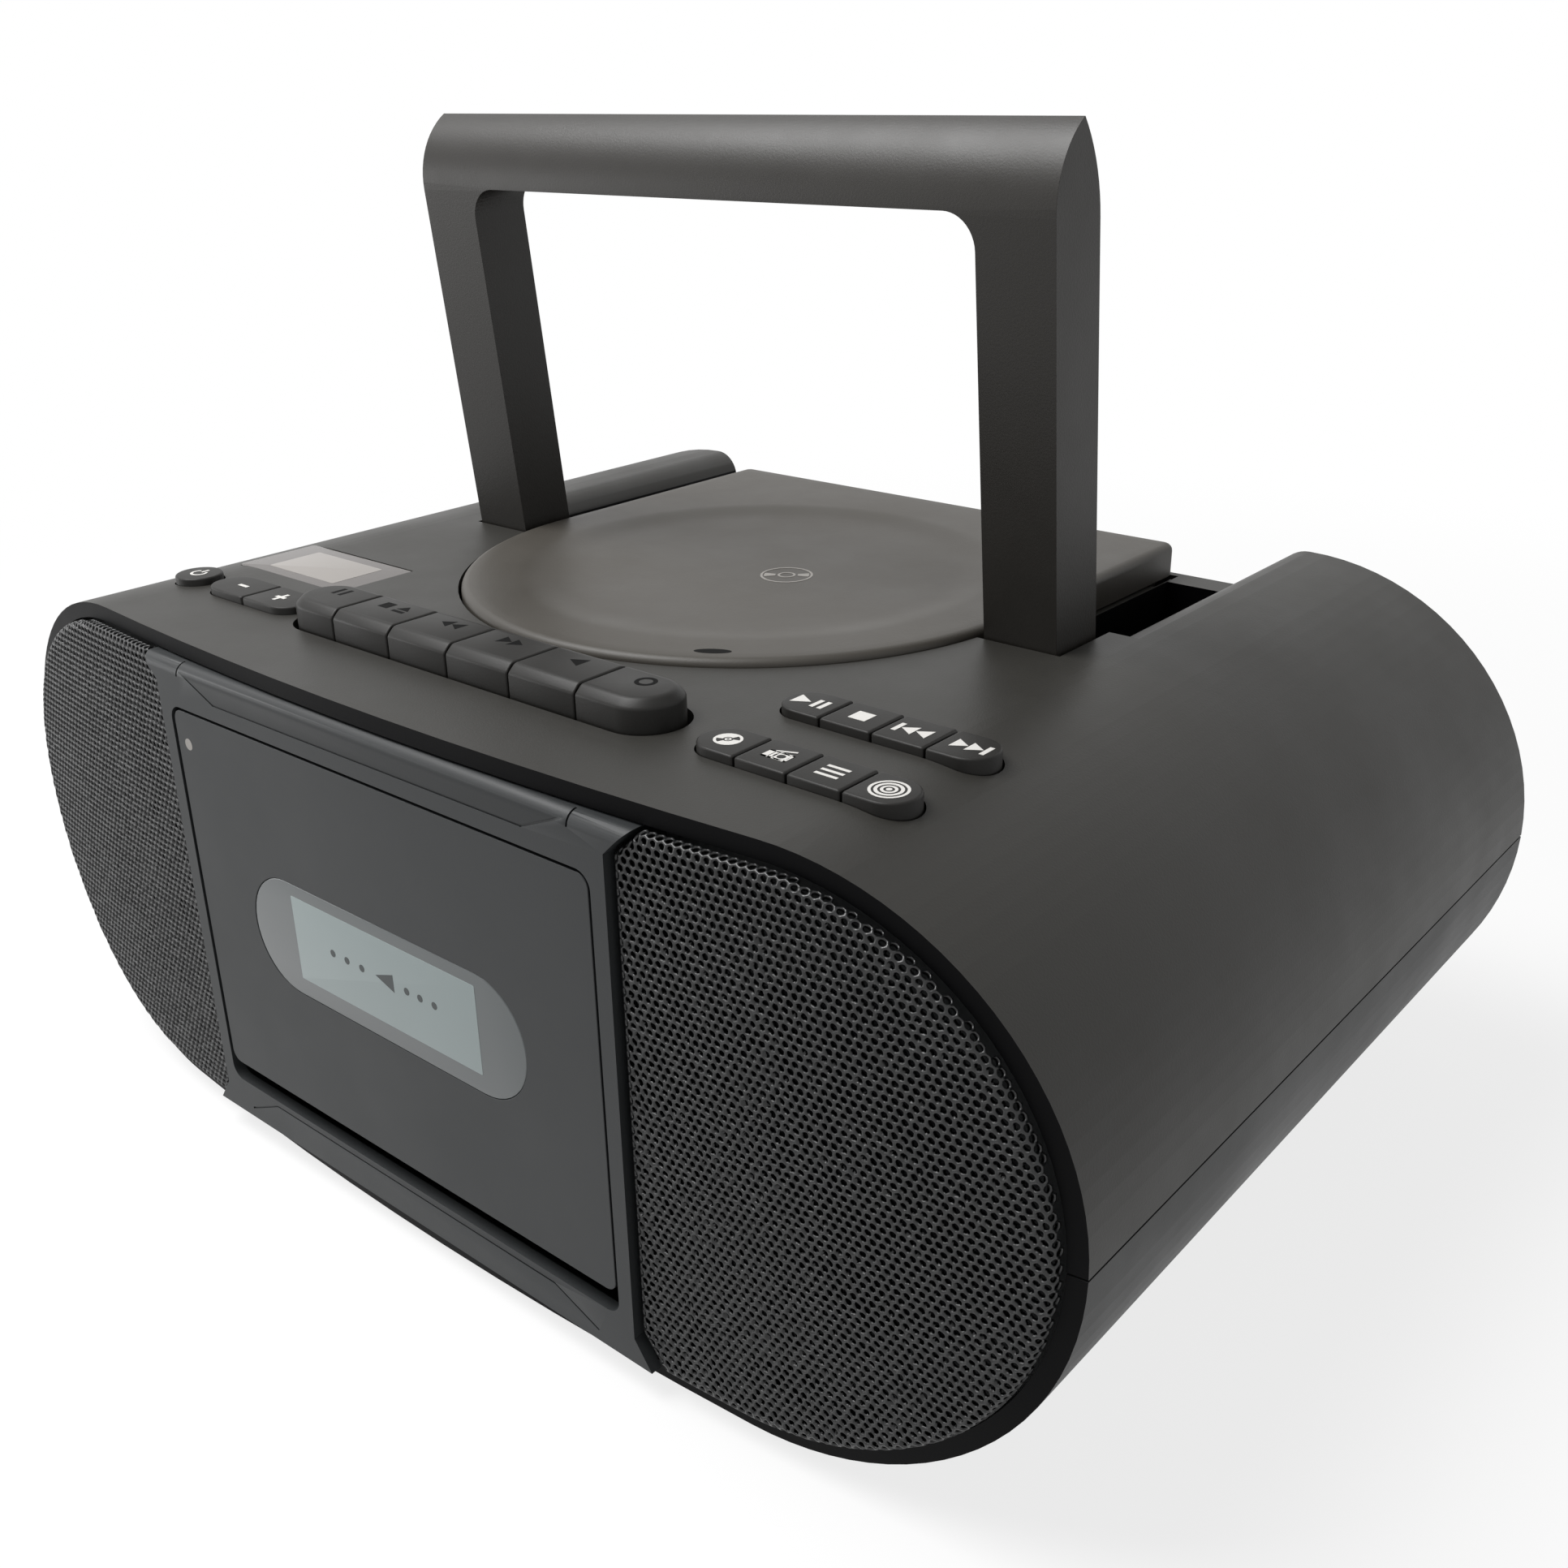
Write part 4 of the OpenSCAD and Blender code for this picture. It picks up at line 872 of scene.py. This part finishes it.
rounded_copy("cassette_door", 0.5, DOOR_PLASTIC, 3)
ends = (lens_low.x, lens_high.x)
lens = slab("cassette_lens", slice_of_pill(*ends, *ends, lens_mid, LENS_HALF), -lens_high.y, -LENS_SUNK, 0.35,
            LENS_RIM, facing)
own(lens, "cassette_window")
pane = slab("cassette_lens_pane", round_rectangle(*PANE, 0.4), -0.6, -PANE_SUNK, 0.02, LENS_CLEAR, facing)
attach(pane, "cassette_door")
print("door and lens made, lens height", round(2 * LENS_HALF, 1), "mm")

# %% Marks on the door

DOT = 0.95
DOT_PLACES = (-17.8, -12.4, -6.8, 9.6, 14.3, 19.3)
MARKS_Z = 71.5
tape_marks = [shape for x in DOT_PLACES for shape in ring(x, 0, DOT, 0)] + wedge(1.6, 0.2, 6.6, 4.6, -1)
sign("cassette_lens_marks", tape_marks, on_front(0, MARKS_Z, PANE_SUNK), "cassette_door",
     LENS_SIGN, 0.03)
sign("cassette_door_dot", ring(0, 0, 1.5, 0), on_front(-67.4, 111.6, door_low.y), "cassette_door",
     GREY_INK, 0.04)
print("marks on the lens:", len(DOT_PLACES), "dots and an arrow")

# %% [markdown]
# ## Display
# The display's window is a flush acrylic plate. A pale cell behind it shows as a lighter rectangle.

# %% Display
display_low, display_high = box_mm("lcd_lens")
CELL_MARGIN = (8.0, 4.0)
window_outline = round_rectangle(display_low.x, display_low.y, display_high.x, display_high.y, 1.0)
window = slab("display_window", window_outline, display_low.z, display_high.z - 0.15, 0.3, DISPLAY_RIM)
own(window, "lcd_lens")
cell_outline = round_rectangle(display_low.x + CELL_MARGIN[0], display_low.y + CELL_MARGIN[1],
                               display_high.x - CELL_MARGIN[0], display_high.y - CELL_MARGIN[1], 0.6)
cell = slab("display_cell", cell_outline, display_high.z - 0.6, display_high.z - 0.1, 0.02, DISPLAY_CLEAR)
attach(cell, "root")
print("display:", round(display_high.x - display_low.x, 1), "mm wide")

# %% [markdown]
# ## Punched grilles
# Each grille is a thin steel sheet, punched with thousands of round holes in a honeycomb. The press then
# bends it to the bow of the front and rolls its edge back all round, holes and all. Geometry Nodes suit
# this: a grid of points becomes a honeycomb, each point receives one cell with its hole, and the flat sheet
# is thickened, rolled and bowed at the end. A ray tells which points lie inside the outline.

# %% The grille's outline
HOLE_PITCH = 2.06
HOLE_RADIUS = 0.77
# The punch draws each hole's edge in by this much.
LIP = 0.10
SHEET = 0.8
# Radius of the rolled edge, and the length of sheet that is rolled back.
ROLL = 1.7
FLANGE = 2.9
# Radius of the front's slight bow, and the height of the casing's widest line.
BOW = 1250.0
SEAM = 70.5
grille_low, grille_high = box_mm("grille_right")
GRILLE_IN, GRILLE_BOTTOM = grille_low.x, grille_low.z
GRILLE_OUT, GRILLE_TOP = grille_high.x, grille_high.z
UPPER_R = GRILLE_TOP - SEAM
LOWER_R = SEAM - GRILLE_BOTTOM


def bow_depth(x):
    """How far the bow sets a point back, by its width from the middle."""
    return BOW - math.sqrt(BOW * BOW - x * x)


# The bow's middle stands this far behind the panel's face; a hair is kept to the solid's own front.
BOW_FRONT = grille_low.y - bow_depth(GRILLE_IN) + 0.02


# The inner corners are cut off: where each cut meets the inner side and the bottom or the top.
LOW_CUT = (6.0, 12.5)
HIGH_CUT = (6.7, 126.0)
# An inset moves a cut corner by this share of itself along the edge.
CUT_SHARE = 0.45


def grille_outline(inset):
    """Right-hand grille's outline, moved inwards by inset, anticlockwise from its lower inner corner."""
    cut = CUT_SHARE * inset
    points = [(GRILLE_IN + inset, LOW_CUT[1] + cut), (GRILLE_IN + LOW_CUT[0] + cut, GRILLE_BOTTOM + inset)]
    points += arc(GRILLE_OUT - LOWER_R, SEAM, LOWER_R - inset, -90, 0, 40)
    points += arc(GRILLE_OUT - UPPER_R, SEAM, UPPER_R - inset, 0, 90, 40)[1:]
    points += [(GRILLE_IN + HIGH_CUT[0] + cut, GRILLE_TOP - inset), (GRILLE_IN + inset, HIGH_CUT[1] - cut)]
    return points


print("grille outline:", len(grille_outline(0)), "points, bow's middle at", round(BOW_FRONT, 2), "mm")

# %% One cell of the honeycomb


def honeycomb_cell(material):
    """A flat hexagon with a round hole whose edge is drawn in a little, in the upright plane."""
    work = bmesh.new()

    def spot(radius, turn, back):
        return work.verts.new((radius * math.sin(turn) * MM, back * MM, radius * math.cos(turn) * MM))

    outer = [spot(HOLE_PITCH / math.sqrt(3), math.pi / 3 * i, 0) for i in range(6)]
    inner = [spot(HOLE_RADIUS, math.pi / 6 * i, LIP) for i in range(12)]
    for i in range(6):
        j = (i + 1) % 6
        middle = inner[2 * i + 1]
        work.faces.new((outer[i], inner[2 * i], middle))
        work.faces.new((outer[i], middle, outer[j]))
        work.faces.new((outer[j], middle, inner[2 * j]))
    for face in work.faces:
        face.normal_update()
        if face.normal.y > 0:
            face.normal_flip()
    mesh = bpy.data.meshes.new("honeycomb_cell")
    work.to_mesh(mesh)
    work.free()
    return link("honeycomb_cell", mesh, material)


# %% [markdown]
# The tree has two parts. The first lays out the honeycomb, keeps the cells over the outline and makes a
# flat, closed sheet of them. The second bends it: outside the flat area, the distance to the nearest edge
# is wound round a small cylinder, and the whole sheet is then set back along the large bow.

# %% The honeycomb part of the tree


def honeycomb(tree, given):
    """Points in a honeycomb over the outline, one cell on each, merged and thickened backwards."""
    grid = add(tree, "GeometryNodeMeshGrid", {"Size X": 1.0, "Size Y": 1.0, "Vertices X": given["Columns"],
                                              "Vertices Y": given["Rows"]})
    # The grid counts up its first column, then its second, so a point's index gives its row and column.
    index = add(tree, "GeometryNodeInputIndex")
    row = add(tree, "ShaderNodeMath", {0: index, 1: given["Rows"]}, operation="MODULO")
    whole = add(tree, "ShaderNodeMath", {0: index, 1: given["Rows"]}, operation="DIVIDE")
    column = add(tree, "ShaderNodeMath", {0: whole}, operation="FLOOR")
    # Every second row is moved by half a pitch, and the rows stand closer than the columns.
    odd = add(tree, "ShaderNodeMath", {0: row, 1: 2.0}, operation="MODULO")
    half = add(tree, "ShaderNodeMath", {0: odd, 1: 0.5}, operation="MULTIPLY")
    shifted = add(tree, "ShaderNodeMath", {0: column, 1: half}, operation="ADD")
    across = add(tree, "ShaderNodeMath", {0: shifted, 1: given["Pitch"]}, operation="MULTIPLY")
    x = add(tree, "ShaderNodeMath", {0: across, 1: given["Start X"]}, operation="ADD")
    step = add(tree, "ShaderNodeMath", {0: given["Pitch"], 1: math.sqrt(3) / 2}, operation="MULTIPLY")
    up = add(tree, "ShaderNodeMath", {0: row, 1: step}, operation="MULTIPLY")
    z = add(tree, "ShaderNodeMath", {0: up, 1: given["Start Z"]}, operation="ADD")
    spot = add(tree, "ShaderNodeCombineXYZ", {"X": x, "Z": z})
    spread = add(tree, "GeometryNodeSetPosition", {"Geometry": grid, "Position": spot})
    # A ray from in front of each point tells whether the point lies over the outline.
    here = add(tree, "GeometryNodeInputPosition")
    before = add(tree, "ShaderNodeVectorMath", {0: here, 1: (0, -1, 0)}, operation="ADD")
    ray = add(tree, "GeometryNodeRaycast", {"Target Geometry": given["Outline"], "Ray Length": 3.0,
                                            "Source Position": before, "Ray Direction": (0, 1, 0)})
    missed = add(tree, "FunctionNodeBooleanMath", {0: ray.outputs["Is Hit"]}, operation="NOT")
    kept = add(tree, "GeometryNodeDeleteGeometry", {"Geometry": spread, "Selection": missed})
    # One cell on each point that is left makes the flat sheet's front.
    cell = add(tree, "GeometryNodeObjectInfo", {"Object": given["Cell"]}).outputs["Geometry"]
    cells = add(tree, "GeometryNodeInstanceOnPoints", {"Points": kept, "Instance": cell})
    real = add(tree, "GeometryNodeRealizeInstances", {"Geometry": cells})
    front = add(tree, "GeometryNodeMergeByDistance", {"Geometry": real, "Distance": 0.02 * MM})
    # The sheet gets its thickness: pushed back, pulled forward again as walls, and closed behind.
    back = add(tree, "ShaderNodeCombineXYZ", {"Y": given["Thickness"]})
    rear = add(tree, "GeometryNodeSetPosition", {"Geometry": front, "Offset": back})
    forward = add(tree, "ShaderNodeVectorMath", {0: back, "Scale": -1.0}, operation="SCALE")
    raised = add(tree, "GeometryNodeExtrudeMesh", {"Mesh": rear, "Offset": forward, "Offset Scale": 1.0,
                                                   "Individual": False})
    flipped = add(tree, "GeometryNodeFlipFaces", {"Mesh": rear})
    both = add(tree, "GeometryNodeJoinGeometry")
    tree.links.new(raised.outputs["Mesh"], both.inputs[0])
    tree.links.new(flipped.outputs[0], both.inputs[0])
    return add(tree, "GeometryNodeMergeByDistance", {"Geometry": both, "Distance": 0.005 * MM})


# %% The bending part of the tree


def roll_and_bow(tree, given, sheet):
    """Winds what lies outside the flat area round the rolled edge, then sets all of it back along the bow."""
    place = add(tree, "GeometryNodeInputPosition")
    parts = add(tree, "ShaderNodeSeparateXYZ", {"Vector": place}).outputs
    flat = add(tree, "ShaderNodeVectorMath", {0: place, 1: (1, 0, 1)}, operation="MULTIPLY")
    area = add(tree, "GeometryNodeObjectInfo", {"Object": given["Flat area"]}).outputs["Geometry"]
    near = add(tree, "GeometryNodeProximity", {"Geometry": area}, target_element="FACES").outputs
    away = add(tree, "ShaderNodeVectorMath", {0: flat, 1: near["Position"]}, operation="SUBTRACT")
    side = add(tree, "ShaderNodeVectorMath", {0: away}, operation="NORMALIZE")
    # The distance past the flat area becomes an angle round the roll, up to a quarter turn, and the rest
    # of it runs straight back.
    wound = add(tree, "ShaderNodeMath", {0: near["Distance"], 1: given["Roll"]}, operation="DIVIDE")
    turn = add(tree, "ShaderNodeMath", {0: wound, 1: math.pi / 2}, operation="MINIMUM")
    quarter = add(tree, "ShaderNodeMath", {0: given["Roll"], 1: math.pi / 2}, operation="MULTIPLY")
    beyond = add(tree, "ShaderNodeMath", {0: near["Distance"], 1: quarter}, operation="SUBTRACT")
    past = add(tree, "ShaderNodeMath", {0: beyond, 1: 0.0}, operation="MAXIMUM")
    # A point's own radius is the roll less its depth in the sheet.
    radius = add(tree, "ShaderNodeMath", {0: given["Roll"], 1: parts["Y"]}, operation="SUBTRACT")
    sine = add(tree, "ShaderNodeMath", {0: turn}, operation="SINE")
    reach = add(tree, "ShaderNodeMath", {0: radius, 1: sine}, operation="MULTIPLY")
    out = add(tree, "ShaderNodeVectorMath", {0: side, "Scale": reach}, operation="SCALE")
    moved = add(tree, "ShaderNodeVectorMath", {0: near["Position"], 1: out}, operation="ADD")
    rolled = add(tree, "ShaderNodeSeparateXYZ", {"Vector": moved}).outputs
    cosine = add(tree, "ShaderNodeMath", {0: turn}, operation="COSINE")
    rest = add(tree, "ShaderNodeMath", {0: radius, 1: cosine}, operation="MULTIPLY")
    back = add(tree, "ShaderNodeMath", {0: given["Roll"], 1: rest}, operation="SUBTRACT")
    # The bow is a large circle about an upright axis behind the object.
    bow_squared = add(tree, "ShaderNodeMath", {0: given["Bow"], 1: given["Bow"]}, operation="MULTIPLY")
    width_squared = add(tree, "ShaderNodeMath", {0: rolled["X"], 1: rolled["X"]}, operation="MULTIPLY")
    left = add(tree, "ShaderNodeMath", {0: bow_squared, 1: width_squared}, operation="SUBTRACT")
    chord = add(tree, "ShaderNodeMath", {0: left}, operation="SQRT")
    sag = add(tree, "ShaderNodeMath", {0: given["Bow"], 1: chord}, operation="SUBTRACT")
    bow = add(tree, "ShaderNodeMath", {0: sag, 1: given["Front"]}, operation="ADD")
    behind = add(tree, "ShaderNodeMath", {0: back, 1: past}, operation="ADD")
    depth = add(tree, "ShaderNodeMath", {0: bow, 1: behind}, operation="ADD")
    final = add(tree, "ShaderNodeCombineXYZ", {"X": rolled["X"], "Y": depth, "Z": rolled["Z"]})
    return add(tree, "GeometryNodeSetPosition", {"Geometry": sheet, "Position": final})


# %% The whole tree

def grille_tree():
    """The node tree that turns a flat outline into a punched, rolled and bowed sheet."""
    tree = bpy.data.node_groups.new("punched_sheet", "GeometryNodeTree")
    sockets = {"Outline": "Geometry", "Cell": "Object", "Flat area": "Object", "Pitch": "Float",
               "Bow": "Float", "Front": "Float", "Thickness": "Float", "Roll": "Float", "Columns": "Int",
               "Rows": "Int", "Start X": "Float", "Start Z": "Float", "Coat": "Material"}
    for name, kind in sockets.items():
        tree.interface.new_socket(name, in_out="INPUT", socket_type="NodeSocket" + kind)
    tree.interface.new_socket("Sheet", in_out="OUTPUT", socket_type="NodeSocketGeometry")
    given = add(tree, "NodeGroupInput").outputs
    bent = roll_and_bow(tree, given, honeycomb(tree, given))
    real = add(tree, "GeometryNodeRealizeInstances", {"Geometry": bent})
    painted = add(tree, "GeometryNodeSetMaterial", {"Geometry": real, "Material": given["Coat"]})
    add(tree, "NodeGroupOutput", {"Sheet": painted})
    return tree


GRILLE_TREE = grille_tree()
print("nodes in the grilles' tree:", len(GRILLE_TREE.nodes))

# %% Punch both grilles

CELL = honeycomb_cell(GRILLE_COAT)


def flat_outline(name, side, inset):
    """An outline as one flat face in the upright plane."""
    work = bmesh.new()
    work.faces.new([work.verts.new((side * x * MM, 0, UNDERSIDE + z * MM)) for x, z in grille_outline(inset)])
    mesh = bpy.data.meshes.new(name)
    work.to_mesh(mesh)
    work.free()
    return link(name, mesh, GRILLE_COAT)


def grille(side, node):
    """One grille, on the right for side 1 and on the left for side -1."""
    piece = flat_outline(node + "_punched", side, ROLL - FLANGE)
    area = flat_outline("flat_area", side, ROLL)
    # A few cells more than fit, so that the rolled edge is covered all round.
    columns = int((GRILLE_OUT - GRILLE_IN) / HOLE_PITCH) + 4
    rows = int((GRILLE_TOP - GRILLE_BOTTOM) / (HOLE_PITCH * math.sqrt(3) / 2)) + 5
    start_x = (GRILLE_IN if side > 0 else -GRILLE_OUT) - HOLE_PITCH
    start_z = GRILLE_BOTTOM - HOLE_PITCH
    values = {"Cell": CELL, "Flat area": area, "Pitch": HOLE_PITCH * MM, "Bow": BOW * MM,
              "Front": FACE_Y + BOW_FRONT * MM, "Thickness": SHEET * MM, "Roll": ROLL * MM,
              "Columns": columns, "Rows": rows, "Start X": start_x * MM,
              "Start Z": UNDERSIDE + start_z * MM, "Coat": GRILLE_COAT}
    modifier = piece.modifiers.new("punch", "NODES")
    modifier.node_group = GRILLE_TREE
    for item in GRILLE_TREE.interface.items_tree:
        if item.in_out == "INPUT" and item.name in values:
            modifier[item.identifier] = values[item.name]
    settle(piece)
    bpy.data.objects.remove(area)
    for face in piece.data.polygons:
        face.use_smooth = True
    return own(piece, node)


for side, node in ((-1, "grille_left"), (1, "grille_right")):
    sheet = grille(side, node)
    print(node, "punched:", len(sheet.data.polygons), "faces")
bpy.data.objects.remove(CELL)

# %% [markdown]
# ## Studio
# A plain pale floor and soft light from large lamps. What the camera sees behind the object is white; the
# floor keeps the object's shadow.

# %% Floor

FLOOR_HALF = 6.0
# Near the object the floor shows this share of plain white; beyond the fade it is white alone.
NEAR_SHARE = 0.8
FADE = (0.25, 0.8)


def make_floor():
    """A sheet of white card, dull and even, that fades to plain white for the camera and for reflections."""
    material, tree = new_material("pale_floor")
    card = add(tree, "ShaderNodeBsdfDiffuse", {"Color": linear("#f4f4f4")})
    white = add(tree, "ShaderNodeEmission", {"Color": linear("#ffffff"), "Strength": 1.0})
    place = add(tree, "ShaderNodeTexCoord").outputs["Object"]
    away = add(tree, "ShaderNodeVectorMath", {0: place}, operation="LENGTH").outputs["Value"]
    clear = add(tree, "ShaderNodeMapRange", {"Value": away, "From Min": FADE[0], "From Max": FADE[1],
                                             "To Min": NEAR_SHARE, "To Max": 1.0},
                interpolation_type="SMOOTHSTEP")
    rays = add(tree, "ShaderNodeLightPath").outputs
    seen = add(tree, "ShaderNodeMath", {0: rays["Is Camera Ray"], 1: rays["Is Glossy Ray"]},
               operation="MAXIMUM")
    share = add(tree, "ShaderNodeMath", {0: seen, 1: clear}, operation="MULTIPLY")
    mixed = add(tree, "ShaderNodeMixShader", {"Fac": share, 1: card.outputs[0], 2: white.outputs[0]})
    add(tree, "ShaderNodeOutputMaterial", {"Surface": mixed})
    work = bmesh.new()
    corners = ((-1, -1), (1, -1), (1, 1), (-1, 1))
    work.faces.new([work.verts.new((x * FLOOR_HALF, y * FLOOR_HALF, 0)) for x, y in corners])
    mesh = bpy.data.meshes.new("floor")
    work.to_mesh(mesh)
    work.free()
    link("floor", mesh, material)


make_floor()
print("floor:", 2 * FLOOR_HALF, "m wide")

# %% [markdown]
# The world is white where the camera, a mirror or a glass looks at it, but it lights the object only
# faintly. Two soft lamps do the rest: a broad one overhead, and a low one that grazes the left grille.

# %% World and lamps

WORLD_LIGHT = 0.2


def make_world():
    """A faint, even light all round that looks white to the camera, to mirrors and to glass."""
    world = bpy.data.worlds.new("studio")
    bpy.context.scene.world = world
    world.use_nodes = True
    tree = world.node_tree
    tree.nodes.clear()
    rays = add(tree, "ShaderNodeLightPath").outputs
    direct = add(tree, "ShaderNodeMath", {0: rays["Is Camera Ray"], 1: rays["Is Transmission Ray"]},
                 operation="MAXIMUM")
    seen = add(tree, "ShaderNodeMath", {0: direct, 1: rays["Is Glossy Ray"]}, operation="MAXIMUM")
    level = add(tree, "ShaderNodeMath", {0: seen, 1: WORLD_LIGHT}, operation="MAXIMUM")
    background = add(tree, "ShaderNodeBackground", {"Color": linear("#ffffff"), "Strength": level})
    add(tree, "ShaderNodeOutputWorld", {"Surface": background})


def lamp(name, place, target, size, power):
    """A soft rectangular lamp, turned towards its target; sizes in metres, power in watts."""
    data = bpy.data.lights.new(name, "AREA")
    data.shape = "RECTANGLE"
    data.size, data.size_y = size
    data.energy = power
    lamp_object = bpy.data.objects.new(name, data)
    bpy.context.scene.collection.objects.link(lamp_object)
    lamp_object.location = place
    lamp_object.rotation_euler = (Vector(target) - Vector(place)).to_track_quat("-Z", "Y").to_euler()


make_world()
lamp("overhead", (-0.45, -0.4, 1.2), (0, 0, 0.1), (0.8, 0.7), 22)
lamp("left_fill", (-1.3, -0.75, 0.25), (-0.1, -0.1, 0.08), (0.8, 0.4), 4)
bpy.context.scene.view_settings.view_transform = "Standard"
print("lamps:", len(bpy.data.lights))
